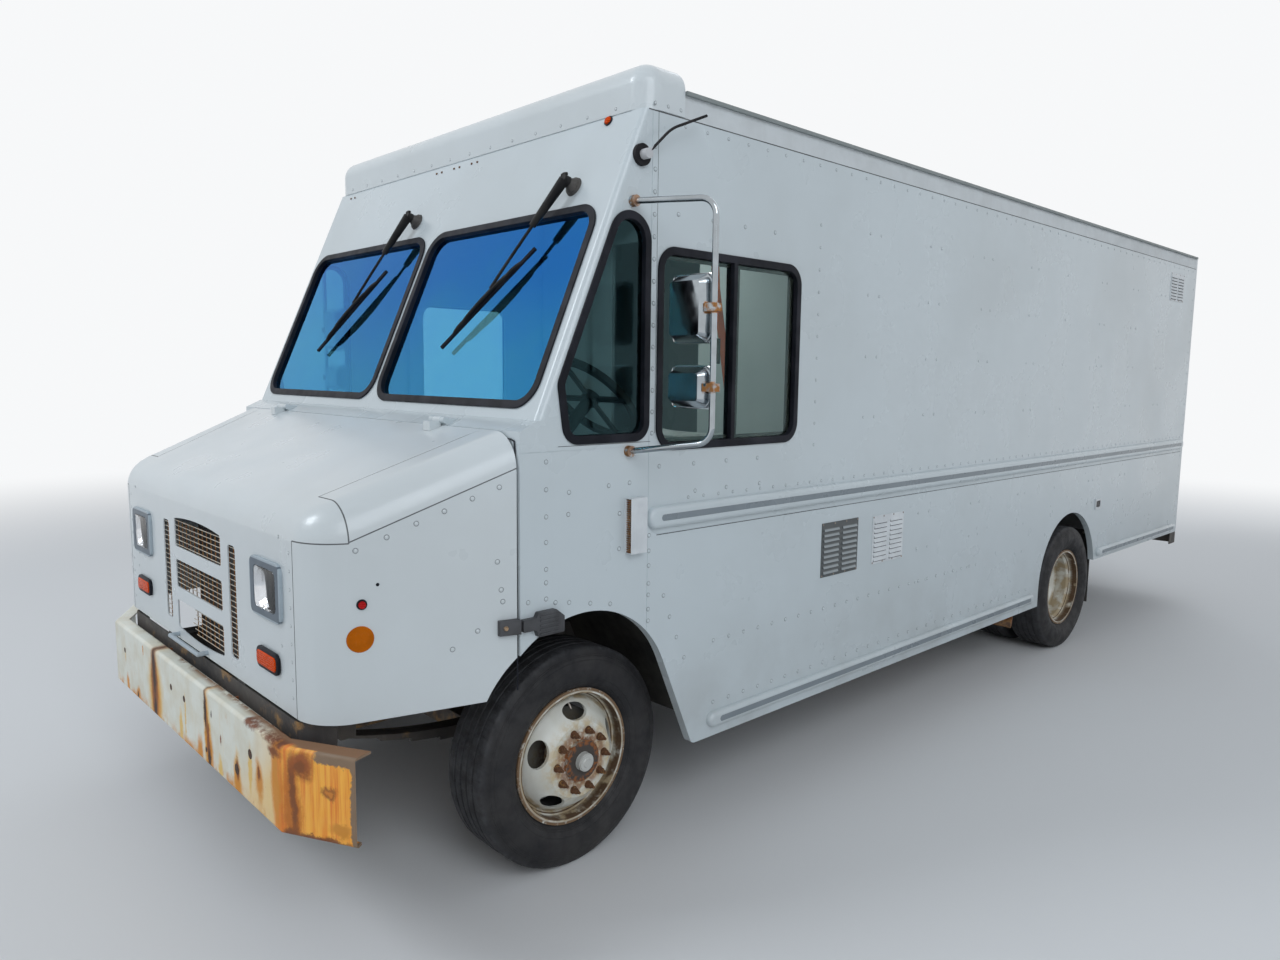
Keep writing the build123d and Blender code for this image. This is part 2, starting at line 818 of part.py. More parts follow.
# Wipers hang from pivots above the windshield
wiper_pivot = (seam_z - screen_z) * lean - 277
arm_reach = (255, 411)
blade_ends = ((-84, -250), (-484, -640))
with BuildPart() as wipers:
    for x in (934, -192):
        with BuildSketch(screen):
            with Locations((x, wiper_pivot)):
                Circle(32)
        extrude(amount=60)
        with BuildSketch(screen.offset(40)):
            with BuildLine():
                Polyline(
                    (x - 15, wiper_pivot - 5),
                    (x - arm_reach[0] - 12, wiper_pivot - arm_reach[1] + 8),
                    (x - arm_reach[0] + 8, wiper_pivot - arm_reach[1] - 4),
                    (x + 15, wiper_pivot - 15),
                    close=True,
                )
            make_face()
        extrude(amount=18)
        (top_x, top_z), (tip_x, tip_z) = blade_ends
        with BuildSketch(screen.offset(9)):
            with BuildLine():
                Polyline(
                    (x + top_x - 7, wiper_pivot + top_z + 5),
                    (x + tip_x - 7, wiper_pivot + tip_z + 5),
                    (x + tip_x + 7, wiper_pivot + tip_z - 5),
                    (x + top_x + 7, wiper_pivot + top_z - 5),
                    close=True,
                )
            make_face()
        extrude(amount=31)
save(wipers.part, "wipers")

# Radio antenna on the upper corner of the left side
antenna_y = 176
antenna_z = drip_z - 252
with BuildPart() as antenna:
    bar_x(body_half, body_half + 14, behind(antenna_y), antenna_z, 38)
    bar_x(body_half + 14, body_half + 45, behind(antenna_y), antenna_z, 18)
    with BuildLine() as whip:
        FilletPolyline(
            (body_half + 38, behind(antenna_y), antenna_z),
            (body_half + 60, behind(antenna_y + 90), antenna_z + 95),
            (body_half + 70, behind(antenna_y + 260), antenna_z + 170),
            radius=160,
        )
    with BuildSketch(Plane(origin=whip.line @ 0, z_dir=whip.line % 0)):
        Circle(5)
    sweep(path=whip.line)
save(antenna.part, "antenna")

# Cab furniture
driver_x = 550
with BuildPart() as engine_cover:
    block((-cover_half, cover_half), (cowl_y + firewall_thick, cover_back_y), (deck_low_z, cover_top_z))
    fillet(engine_cover.edges().filter_by(Axis.Y).group_by(Axis.Z)[-1], 60)
    block(
        (-cover_half + 12, cover_half - 12),
        (cowl_y, cover_back_y - 12),
        (deck_low_z - 20, cover_top_z - 40),
        mode=Mode.SUBTRACT,
    )
save(engine_cover.part, "engine_cover")

hub_point = (driver_x, behind(480), 1735)
column_tilt = 45
column_length = 560
column_dir = (0, cos(radians(column_tilt)), sin(radians(column_tilt)))
column_plane = Plane(origin=hub_point, x_dir=(1, 0, 0), z_dir=column_dir)
column_r = 28
with BuildPart() as dashboard:
    with BuildSketch(side(0)):
        with BuildLine():
            Polyline(
                (cowl_y + firewall_thick, 1240),
                (cowl_y + firewall_thick, 1560),
                (behind(-150), 1600),
                (behind(60), 1500),
                (behind(90), 1380),
                (behind(20), 1240),
                close=True,
            )
        make_face()
    extrude(amount=inner_half, both=True)
    block((driver_x - 90, driver_x + 90), (behind(0), behind(330)), (1330, 1440))
    with BuildSketch(column_plane):
        Circle(column_r + seat_gap)
    extrude(amount=-column_length - 60, mode=Mode.SUBTRACT)
save(dashboard.part, "dashboard")

seat_y = 900
with BuildPart() as seat_base:
    for half, low, high in ((170, floor_z, floor_z + 12), (200, floor_z + 360, floor_z + 390)):
        across_seat = (driver_x - half, driver_x + half)
        along_seat = (behind(seat_y - half), behind(seat_y + half))
        block(across_seat, along_seat, (low, high))
    post(driver_x, behind(seat_y), floor_z, floor_z + 360, 70)
save(seat_base.part, "seat_base")

cushion_z = floor_z + 390
with BuildPart() as seat_cushions:
    with BuildSketch(level(cushion_z + seat_gap)):
        with Locations((driver_x, behind(seat_y))):
            RectangleRounded(500, 480, 60)
    extrude(amount=110)
    with BuildSketch(across(behind(seat_y + 190))):
        with Locations((driver_x, cushion_z + 110 + 1 + 150)):
            RectangleRounded(480, 300, 60)
    extrude(amount=-90)
save(seat_cushions.part, "seat_cushions")

# Steering column and wheel; the wheel faces up towards the driver
steer_wheel_r = 230
with BuildPart() as steering_column:
    with BuildSketch(column_plane.offset(-seat_gap)):
        Circle(column_r)
    extrude(amount=-column_length)
save(steering_column.part, "steering_column")

with BuildPart() as steering_wheel:
    with BuildSketch(column_plane):
        Circle(42)
    extrude(amount=36)
    with BuildSketch(column_plane.offset(10)):
        with PolarLocations(steer_wheel_r / 2, 4):
            Rectangle(steer_wheel_r, 26)
    extrude(amount=12)
    with BuildSketch(column_plane.offset(2)):
        Circle(steer_wheel_r + 14)
        Circle(steer_wheel_r - 14, mode=Mode.SUBTRACT)
    extrude(amount=28)
save(steering_wheel.part, "steering_wheel")

# Hood: a tapered shell with large rounded edges, open at the bottom and back
hood_back_y = cowl_y - hood_gap
hood_length = hood_back_y - hood_front_y
hood_nose_z = hood_top_z - hood_length * tan(radians(hood_fall))
hood_nose_half = hood_half - hood_length * tan(radians(hood_taper))
lamp_x = 688
lamp_z = 1156
lamp_w = 178
lamp_h = 138
lamp_r = 24
bezel_w = 248
bezel_h = 195
bezel_r = 34
bezel_out = 12
signal_z = 920
signal_w = 178
signal_h = 72
signal_r = 26
signal_rim = 12
slot_x = 367
slot_w = 72
slot_z = 1048
slot_h = 404
slot_r = 18
vent_w = 520
vent_h = 112
vent_r = 14
vent_pitch = 164.5
vent_bow = 15

# Joints between the moulded panels of the hood
panel_seam_w = 3
panel_seam_deep = 2
corner_seam_z = 1341
corner_seam_x = 893
nose_seam_y = behind(-867)
top_seam_x = 840
roll_seam_z = 1343


def hood_side_x(y):
    """Half the hood's width at a station."""
    return hood_half - (hood_back_y - y) * tan(radians(hood_taper))


# The hood's outer form as a full block
with BuildPart() as hood_form:
    with BuildSketch(side(0)):
        with BuildLine():
            Polyline(
                (hood_back_y, hood_bottom_z),
                (hood_back_y, hood_top_z),
                (hood_front_y, hood_nose_z),
                (hood_front_y, hood_bottom_z),
                close=True,
            )
        make_face()
    extrude(amount=body_half, both=True)
    with BuildSketch(level(hood_bottom_z - 10)):
        with BuildLine():
            Polyline(
                (-hood_half, hood_back_y),
                (hood_half, hood_back_y),
                (hood_nose_half, hood_front_y),
                (-hood_nose_half, hood_front_y),
                close=True,
            )
        make_face()
    extrude(amount=hood_top_z, mode=Mode.INTERSECT)
    fillet(hood_form.edges().filter_by(Axis.Z).group_by(Axis.Y)[0], hood_corner_r)
    top = hood_form.faces().sort_by(Axis.Z)[-1]
    fillet(top.edges().filter_by(lambda e: e.center().Y < hood_back_y - 1), hood_edge_r)

# Thin sheets along the joints, kept only near the surface
hood_core = offset(hood_form.part, amount=-panel_seam_deep)
half_seam = panel_seam_w / 2
seam_slope = tan(radians(hood_fall))
with BuildPart() as hood_joints:
    for turned in (-1, 1):
        outer_xs = sorted((turned * corner_seam_x, turned * (body_half + 10)))
        seam_zs = (corner_seam_z - half_seam, corner_seam_z + half_seam)
        block(outer_xs, (hood_front_y - 10, nose_seam_y), seam_zs)
        nose_ys = (nose_seam_y - half_seam, nose_seam_y + half_seam)
        nose_xs = sorted((turned * top_seam_x, turned * (body_half + 10)))
        block(nose_xs, nose_ys, (corner_seam_z, hood_top_z))
        front_xs = sorted((turned * corner_seam_x, turned * (corner_seam_x - panel_seam_w)))
        block(front_xs, (hood_front_y - 10, hood_front_y + 60), (hood_bottom_z, corner_seam_z))
        run = hood_back_y - nose_seam_y
        rise = run * seam_slope
        with BuildSketch(side(turned * top_seam_x)):
            with BuildLine():
                Polyline(
                    (nose_seam_y, roll_seam_z),
                    (hood_back_y, roll_seam_z + rise),
                    (hood_back_y, roll_seam_z + rise + panel_seam_w),
                    (nose_seam_y, roll_seam_z + panel_seam_w),
                    close=True,
                )
            make_face()
        extrude(amount=turned * (body_half + 10 - top_seam_x))
        spread = run * tan(radians(hood_taper))
        with BuildSketch(level(corner_seam_z)):
            with BuildLine():
                Polyline(
                    (turned * top_seam_x, nose_seam_y),
                    (turned * (top_seam_x + panel_seam_w), nose_seam_y),
                    (turned * (top_seam_x + spread + panel_seam_w), hood_back_y),
                    (turned * (top_seam_x + spread), hood_back_y),
                    close=True,
                )
            make_face()
        extrude(amount=hood_top_z - corner_seam_z)
    add(hood_core, mode=Mode.SUBTRACT)

with BuildPart() as hood:
    add(hood_form.part)
    openings = hood.faces().sort_by(Axis.Z)[:1]
    openings += hood.faces().sort_by(Axis.Y)[-1:]
    offset(amount=-hood_skin, openings=openings)
    add(hood_joints.part, mode=Mode.SUBTRACT)
    with BuildSketch(side(0)):
        add(arch.sketch)
    extrude(amount=body_half + 100, both=True, mode=Mode.SUBTRACT)
    with BuildSketch(across(hood_front_y + 20)):
        for turned in (-1, 1):
            with Locations((turned * lamp_x, lamp_z)):
                RectangleRounded(lamp_w, lamp_h, lamp_r)
            with Locations((turned * lamp_x, signal_z)):
                inner_w = signal_w - 2 * signal_rim
                RectangleRounded(inner_w, signal_h - 2 * signal_rim, signal_r - signal_rim)
            with Locations((turned * slot_x, slot_z)):
                RectangleRounded(slot_w, slot_h, slot_r)
        # The top opening is bowed upwards and the bottom one downwards.
        for row in (-1, 0, 1):
            low = slot_z + row * vent_pitch - vent_h / 2
            ends = ((low, -vent_bow), (low + vent_h, vent_bow))
            with BuildLine():
                for z, bow in ends:
                    if row * bow > 0:
                        ThreePointArc((-vent_w / 2, z), (0, z + bow), (vent_w / 2, z))
                    else:
                        Line((-vent_w / 2, z), (vent_w / 2, z))
                for x in (-vent_w / 2, vent_w / 2):
                    Line((x, low), (x, low + vent_h))
            opening = make_face()
            fillet(opening.vertices(), vent_r)
    extrude(amount=60, mode=Mode.SUBTRACT)
    for x in hinge_xs:
        block((x - hinge_inner, x + hinge_inner), (hinge_y - 50, hinge_y - 3), (hinge_z - 38, hinge_z - 4))
        bar_x(x - hinge_inner, x + hinge_inner, hinge_y, hinge_z, hinge_r)
        inner = hinge_inner + 1
        bar_x(x - inner, x + inner, hinge_y, hinge_z, hinge_pin_r + seat_gap, mode=Mode.SUBTRACT)
save(hood.part, "hood")

# Grille: wire mesh behind the openings of the hood
mesh_pitch_x = 46
mesh_pitch_z = 19
mesh_wire = 5
mesh_columns = 18
mesh_rows = 22
mesh_edge = 10
with BuildPart() as grille:
    grille_y = hood_front_y + hood_skin
    with BuildSketch(across(grille_y + mesh_wire)):
        with Locations((0, slot_z)):
            mesh_w = mesh_columns * mesh_pitch_x + mesh_edge
            Rectangle(mesh_w, mesh_rows * mesh_pitch_z + mesh_edge)
            with GridLocations(mesh_pitch_x, mesh_pitch_z, mesh_columns, mesh_rows):
                Rectangle(mesh_pitch_x - mesh_wire, mesh_pitch_z - mesh_wire, mode=Mode.SUBTRACT)
    extrude(amount=mesh_wire)
save(grille.part, "grille")

# Head lamps in their openings, and turn signals in rubber rims
lamp_deep = 40
with BuildPart() as front_lamps:
    for turned in (-1, 1):
        with BuildSketch(across(hood_front_y + lamp_deep)):
            with Locations((turned * lamp_x, lamp_z)):
                rim = 2 * seat_gap
                RectangleRounded(lamp_w - rim, lamp_h - rim, lamp_r - seat_gap)
        extrude(amount=lamp_deep + bezel_out - 6)
        with BuildSketch(across(hood_front_y)):
            with Locations((turned * lamp_x, signal_z)):
                RectangleRounded(signal_w, signal_h, signal_r)
        extrude(amount=16)
        with BuildSketch(across(hood_front_y)):
            with Locations((turned * lamp_x, signal_z)):
                neck = 2 * signal_rim + 1
                RectangleRounded(signal_w - neck, signal_h - neck, signal_r - signal_rim)
        extrude(amount=-24)
    lens_rims = front_lamps.faces().filter_by(Plane.XZ).group_by(Axis.Y)[:2]
    for faces in lens_rims:
        fillet(faces.edges(), 4)
save(front_lamps.part, "front_lamps")

# Lamp bezels, and the lift bar under the front edge
lift_xs = (-257, 76)
lift_z = hood_bottom_z + 2
lift_r = 9
with BuildPart() as hood_trim:
    for turned in (-1, 1):
        with BuildSketch(across(hood_front_y)):
            with Locations((turned * lamp_x, lamp_z)):
                RectangleRounded(bezel_w, bezel_h, bezel_r)
                RectangleRounded(lamp_w, lamp_h, lamp_r, mode=Mode.SUBTRACT)
        extrude(amount=bezel_out)
    fillet(hood_trim.faces().sort_by(Axis.Y)[:2].edges(), 3)
    bar_x(lift_xs[0], lift_xs[1], hood_front_y - 34, lift_z + 16, lift_r)
    for x in lift_xs:
        with BuildSketch(across(hood_front_y)):
            with Locations((x, lift_z + 16)):
                Circle(lift_r)
        extrude(amount=34)
        with Locations((x, hood_front_y - 34, lift_z + 16)):
            Sphere(lift_r)
save(hood_trim.part, "hood_trim")

# Rubber latches: a pad on each side of the hood, a strap and its anchor on the body
latch_zs = (998, 1048)
latch_out = 24
pad_ys = (behind(-421), hood_back_y)
with BuildPart() as hood_latches:
    for turned in (-1, 1):
        with BuildSketch(level(latch_zs[0])):
            with BuildLine():
                Polyline(
                    (turned * hood_side_x(pad_ys[0]), pad_ys[0]),
                    (turned * hood_side_x(pad_ys[1]), pad_ys[1]),
                    (turned * (hood_half + latch_out), pad_ys[1]),
                    (turned * (hood_side_x(pad_ys[0]) + latch_out - 6), pad_ys[0]),
                    close=True,
                )
            make_face()
        extrude(amount=latch_zs[1] - latch_zs[0])
    fillet(hood_latches.edges().filter_by(Axis.Z).filter_by(lambda e: e.center().Y < pad_ys[0] + 1), 5)
save(hood_latches.part, "hood_latches")

with BuildPart() as latch_straps:
    for turned in (-1, 1):
        with BuildSketch(side(turned * body_half)):
            with BuildLine():
                Polyline(
                    (cowl_y, latch_zs[0] + 4),
                    (behind(-293), latch_zs[0] + 4),
                    (behind(-285), 976),
                    (behind(-175), 976),
                    (behind(-175), 1032),
                    (behind(-210), 1060),
                    (behind(-285), 1060),
                    (behind(-293), latch_zs[1] - 4),
                    (cowl_y, latch_zs[1] - 4),
                    close=True,
                )
            make_face()
        extrude(amount=turned * 20)
    fillet(latch_straps.edges().filter_by(Axis.X), 6)
save(latch_straps.part, "latch_straps")

# Chassis frame: two channels and their cross members
radiator_y = (behind(-860), behind(-770))
radiator_z = 640
rail_front_y = behind(-970)
apron_zs = (600, 765)
apron_half = 880
apron_thick = 6
with BuildPart() as frame_rails:
    rail_back_y = body_back_y - 80
    for turned in (-1, 1):
        web = sorted((turned * rail_x, turned * (rail_x - rail_web)))
        flange = sorted((turned * rail_x, turned * (rail_x - rail_flange)))
        block(web, (rail_front_y, rail_back_y), (rail_z, rail_z + rail_h))
        block(flange, (rail_front_y, rail_back_y), (rail_z, rail_z + rail_web))
        block(flange, (rail_front_y, rail_back_y), (rail_z + rail_h - rail_web, rail_z + rail_h))
    cross = rail_x - rail_web / 2
    for y in (
        behind(980),
        rear_axle_y - 2390,
        rear_axle_y - 1390,
        rear_axle_y - 590,
        rear_axle_y + 510,
        (rear_axle_y + 510 + body_back_y - 150) / 2,
        body_back_y - 150,
    ):
        block((-cross, cross), (y, y + 60), (rail_z + 120, rail_z + rail_h - 30))
    block((-cross, cross), (radiator_y[0] - 10, radiator_y[1] + 10), (rail_z + 70, radiator_z))
    # A splash apron stands on the rail ends behind the bumper, with a swept wing at each side.
    with BuildSketch(level(apron_zs[0])):
        with BuildLine():
            Polyline(
                (-apron_half - 120, rail_front_y + 70),
                (-apron_half, rail_front_y - apron_thick),
                (apron_half, rail_front_y - apron_thick),
                (apron_half + 120, rail_front_y + 70),
                (apron_half + 112, rail_front_y + 74),
                (apron_half - 3, rail_front_y),
                (3 - apron_half, rail_front_y),
                (-apron_half - 112, rail_front_y + 74),
                close=True,
            )
        make_face()
    extrude(amount=apron_zs[1] - apron_zs[0])
save(frame_rails.part, "frame_rails")

# Front bumper: a deep channel with swept ends
bumper_low_z = 445
bumper_h = 282
bumper_plate = 8
bumper_flange = 60
bumper_foot = 24
bumper_end = body_half - 20
bumper_flat = bumper_end - 245
bumper_sweep = 130
bumper_bend_r = 14
bumper_y = behind(-bumper_ahead)


def bumper_line(back):
    """The bumper's plan outline, from its face to a line further back."""
    with BuildSketch() as plan:
        with BuildLine():
            Polyline(
                (-bumper_end, bumper_y + bumper_sweep),
                (-bumper_flat, bumper_y),
                (bumper_flat, bumper_y),
                (bumper_end, bumper_y + bumper_sweep),
                (bumper_end - 20, bumper_y + bumper_sweep + back),
                (bumper_flat - 10, bumper_y + back),
                (10 - bumper_flat, bumper_y + back),
                (20 - bumper_end, bumper_y + bumper_sweep + back),
                close=True,
            )
        make_face()
    return plan.sketch


with BuildPart() as front_bumper:
    with BuildSketch(level(bumper_low_z)):
        add(bumper_line(bumper_flange))
    extrude(amount=bumper_h)
    # The pressed edges along the face are rounded.
    ahead = bumper_y + bumper_sweep / 2 + 1
    face_edges = front_bumper.edges().filter_by(lambda e: e.center().Y < ahead)
    for edges in (face_edges.group_by(Axis.Z)[-1], face_edges.group_by(Axis.Z)[0]):
        fillet(edges, bumper_bend_r)
    # The channel is open to the back, with a wide flange above and a narrow one below.
    for z, height, reach in (
        (bumper_low_z + bumper_plate, bumper_h - 2 * bumper_plate, bumper_plate),
        (bumper_low_z - 1, bumper_plate + 1, bumper_foot),
    ):
        with BuildSketch(level(z)):
            end_y = bumper_y + bumper_sweep
            with BuildLine():
                Polyline(
                    (-bumper_end - 20, end_y - reach),
                    (20 - bumper_end, end_y + reach),
                    (10 - bumper_flat, bumper_y + reach),
                    (bumper_flat - 10, bumper_y + reach),
                    (bumper_end - 20, end_y + reach),
                    (bumper_end + 20, end_y - reach),
                    (bumper_end + 20, end_y + bumper_flange + 1),
                    (-bumper_end - 20, end_y + bumper_flange + 1),
                    close=True,
                )
            make_face()
        extrude(amount=height, mode=Mode.SUBTRACT)
    # Brackets carry the bumper on the apron and the ends of the frame rails.
    for turned in (-1, 1):
        ends = sorted((turned * (rail_x - 60), turned * (rail_x - 52)))
        bracket_ys = (bumper_y + bumper_plate, rail_front_y - apron_thick)
        block(ends, bracket_ys, (apron_zs[0] + 10, rail_z + 190))
save(front_bumper.part, "front_bumper")

# Step across the back, on two brackets from the frame rails
step_half = body_half - 40
step_plate = 8
step_low_z = 440
step_high_z = 536
with BuildPart() as rear_step:
    step_back = body_back_y + step_reach
    block((-step_half, step_half), (body_back_y, step_back), (step_low_z, step_high_z))
    block(
        (-step_half + step_plate, step_half - step_plate),
        (body_back_y - 5, step_back - step_plate),
        (step_low_z - 5, step_high_z - step_plate),
        mode=Mode.SUBTRACT,
    )
    for turned in (-1, 1):
        ends = sorted((turned * (rail_x + seat_gap), turned * (rail_x + 12)))
        arm_ys = (body_back_y - 200, step_back - step_plate)
        block(ends, arm_ys, (step_low_z + 10, rear_skirt_z - 2))
save(rear_step.part, "rear_step")

# Front axle: a dropped beam with a boss at each end for the kingpin
beam_h = 85
with BuildPart() as front_axle:
    with BuildSketch(across(axle_y + 38)):
        with BuildLine():
            Polyline(
                (-kingpin_x, boss_high_z - 40),
                (-kingpin_x + 110, boss_high_z - 55),
                (-rail_x - 130, 378),
                (rail_x + 130, 378),
                (kingpin_x - 110, boss_high_z - 55),
                (kingpin_x, boss_high_z - 40),
                (kingpin_x, boss_low_z + 35),
                (kingpin_x - 110, boss_low_z + 15),
                (rail_x + 110, 378 - beam_h),
                (-rail_x - 110, 378 - beam_h),
                (-kingpin_x + 110, boss_low_z + 15),
                (-kingpin_x, boss_low_z + 35),
                close=True,
            )
        make_face()
    extrude(amount=76)
    for turned in (-1, 1):
        post(turned * kingpin_x, axle_y, boss_low_z, boss_high_z, 46)
        post(turned * kingpin_x, axle_y, boss_low_z, boss_high_z, kingpin_r + seat_gap, mode=Mode.SUBTRACT)
save(front_axle.part, "front_axle")

# Steering knuckles: a fork round the axle's boss, the pin, the spindle and the track arm
track_z = boss_low_z - ear_gap - 34
for turned, name in ((1, "left"), (-1, "right")):
    x = turned * kingpin_x
    with BuildPart() as knuckle:
        post(x, axle_y, track_z, boss_high_z + ear_gap + 34, kingpin_r)
        for low in (track_z, boss_high_z + ear_gap):
            ends = sorted((x - turned * 36, x + turned * 75))
            block(ends, (axle_y - 42, axle_y + 42), (low, low + 34))
        ends = sorted((x + turned * 55, x + turned * 80))
        block(ends, (axle_y - 50, axle_y + 50), (track_z, boss_high_z + ear_gap + 34))
        bar_x(x + turned * 70, x + turned * 84, axle_y, tyre_r, 170)
        bar_x(x + turned * 84, x + turned * 235, axle_y, tyre_r, 32)
        block((x - 18, x + 18), (axle_y, axle_y + track_arm), (track_z, track_z + 34))
        post(x, axle_y + track_arm, track_z, track_z + 34, 20)
        post(x, axle_y + track_arm, track_z, track_z + 34, track_pin_r + seat_gap, mode=Mode.SUBTRACT)
    save(knuckle.part, f"knuckle_{name}")

# Track rod between the two arms
with BuildPart() as track_rod:
    for turned in (-1, 1):
        x = turned * kingpin_x
        post(x, axle_y + track_arm, track_z - 30, track_z - seat_gap, 18)
        post(x, axle_y + track_arm, track_z - 30, track_z + 34, track_pin_r)
    bar_x(-kingpin_x, kingpin_x, axle_y + track_arm, track_z - 15, 12)
save(track_rod.part, "track_rod")


# Tyres: a closed ring with bulged sidewalls
def tyre_ring(x, y):
    """Adds a tyre whose middle plane is at x, on an axle at y, to the open part."""
    with BuildSketch(across(y)) as section:
        with BuildLine():
            for turned in (-1, 1):
                bead = (x + turned * (rim_w / 2 - seat_gap), tyre_r + flange_r + 2)
                bulge = (x + turned * tyre_w / 2, tyre_r + (bead_r + tyre_r) / 2)
                shoulder = (x + turned * (tread_w / 2 + 10), tyre_r + tyre_r - 20)
                Line((bead[0], tyre_r + bead_r + seat_gap), bead)
                ThreePointArc(bead, bulge, shoulder)
                Line(shoulder, (x + turned * tread_w / 2, 2 * tyre_r))
            Line((x - tread_w / 2, 2 * tyre_r), (x + tread_w / 2, 2 * tyre_r))
            low = tyre_r + bead_r + seat_gap
            Line((x - rim_w / 2 + seat_gap, low), (x + rim_w / 2 - seat_gap, low))
        make_face()
    revolve(section.sketch, axis=Axis((0, y, tyre_r), (1, 0, 0)))


def rim_ring(x, y):
    """Adds a rim's barrel with its two flanges."""
    half = rim_w / 2
    with BuildSketch(across(y)) as section:
        with BuildLine():
            Polyline(
                (x - half - flange_thick, tyre_r + flange_r),
                (x - half, tyre_r + flange_r),
                (x - half, tyre_r + bead_r),
                (x - half + 32, tyre_r + bead_r - 2),
                (x - half + 52, tyre_r + well_r),
                (x + half - 52, tyre_r + well_r),
                (x + half - 32, tyre_r + bead_r - 2),
                (x + half, tyre_r + bead_r),
                (x + half, tyre_r + flange_r),
                (x + half + flange_thick, tyre_r + flange_r),
                (x + half + flange_thick, tyre_r + bead_r - 8),
                (x + half - 36, tyre_r + bead_r - 10),
                (x + half - 56, tyre_r + well_r - 8),
                (x - half + 56, tyre_r + well_r - 8),
                (x - half + 36, tyre_r + bead_r - 10),
                (x - half - flange_thick, tyre_r + bead_r - 8),
                close=True,
            )
        make_face()
    revolve(section.sketch, axis=Axis((0, y, tyre_r), (1, 0, 0)))


def dish(points, y):
    """Adds a turned disc from its section, given as (x, radius) points."""
    with BuildSketch(across(y)) as section:
        with BuildLine():
            Polyline(*[(x, tyre_r + radius) for x, radius in points], close=True)
        make_face()
    revolve(section.sketch, axis=Axis((0, y, tyre_r), (1, 0, 0)))


for turned, name in ((1, "left"), (-1, "right")):
    with BuildPart() as tyre:
        tyre_ring(turned * front_tyre_x, axle_y)
    save(tyre.part, f"front_{name}_tyre")

    hub_x = kingpin_x + 92
    face_x = front_tyre_x + 139
    spindle_end = kingpin_x + 235
    with BuildPart() as wheel:
        rim_ring(turned * front_tyre_x, axle_y)
        section = (
            (front_tyre_x + 36, well_r - 4),
            (front_tyre_x + 50, well_r - 4),
            (face_x - 32, 182),
            (face_x, 142),
            (face_x, 0),
            (face_x - 10, 0),
            (face_x - 10, 137),
            (face_x - 40, 175),
        )
        dish([(turned * x, radius) for x, radius in section], axle_y)
        bar_x(turned * hub_x, turned * (face_x - 5), axle_y, tyre_r, 88)
        bar_x(turned * hub_x, turned * (hub_x + 50), axle_y, tyre_r, 172)
        bar_x(turned * face_x, turned * (face_x + 14), axle_y, tyre_r, hub_ring_r)
        bar_x(turned * face_x, turned * (face_x + 34), axle_y, tyre_r, hub_cap_r)
        bar_x(turned * hub_x, turned * (spindle_end + 2), axle_y, tyre_r, 32 + seat_gap, mode=Mode.SUBTRACT)
        with BuildSketch(side(turned * (face_x + 10))):
            with Locations((axle_y, tyre_r)):
                with PolarLocations(hand_hole_circle_r, hand_hole_count, start_angle=90):
                    Circle(hand_hole_r)
        extrude(amount=-turned * 100, mode=Mode.SUBTRACT)
    save(wheel.part, f"front_{name}_wheel")

# Rear wheels in pairs, the discs bolted back to back
mount_x = dual_x - dual_pitch / 2
axle_end = mount_x + 90
for turned, name in ((1, "left"), (-1, "right")):
    with BuildPart() as tyres:
        tyre_ring(turned * dual_x, rear_axle_y)
        tyre_ring(turned * (dual_x - dual_pitch), rear_axle_y)
    save(tyres.part, f"rear_{name}_tyres")

    with BuildPart() as wheels:
        rim_ring(turned * dual_x, rear_axle_y)
        rim_ring(turned * (dual_x - dual_pitch), rear_axle_y)
        for flip in (-1, 1):
            section = (
                (mount_x + flip * 103, well_r - 4),
                (mount_x + flip * 93, well_r - 4),
                (mount_x + flip * 30, 182),
                (mount_x, 142),
                (mount_x, 0),
                (mount_x + flip * 10, 0),
                (mount_x + flip * 10, 137),
                (mount_x + flip * 38, 172),
            )
            dish([(turned * x, radius) for x, radius in section], rear_axle_y)
        bar_x(turned * (mount_x - 130), turned * (mount_x + 110), rear_axle_y, tyre_r, 84)
        bar_x(turned * (mount_x - 190), turned * (mount_x - 60), rear_axle_y, tyre_r, 186)
        bore_xs = (turned * (mount_x - 195), turned * (axle_end + 2))
        bar_x(*bore_xs, rear_axle_y, tyre_r, 45 + seat_gap, mode=Mode.SUBTRACT)
        with BuildSketch(side(turned * (mount_x + 110))):
            with Locations((rear_axle_y, tyre_r)):
                with PolarLocations(hand_hole_circle_r, hand_hole_count, start_angle=90):
                    Circle(hand_hole_r)
        extrude(amount=-turned * 155, mode=Mode.SUBTRACT)
    save(wheels.part, f"rear_{name}_wheels")

# Rear axle: a banjo housing with a plain end in each hub
with BuildPart() as rear_axle:
    bar_x(-mount_x + 200, mount_x - 200, rear_axle_y, tyre_r, 62)
    bar_x(-axle_end, axle_end, rear_axle_y, tyre_r, 45)
    with Locations((0, rear_axle_y, tyre_r)):
        Sphere(175)
    for turned in (-1, 1):
        ends = sorted((turned * (spring_x - 50), turned * (spring_x + 50)))
        block(ends, (rear_axle_y - 70, rear_axle_y + 70), (tyre_r, tyre_r + 66))
    with BuildSketch(across(rear_axle_y - 260)):
        with Locations((0, tyre_r + 20)):
            Circle(60)
    extrude(amount=-200)
save(rear_axle.part, "rear_axle")

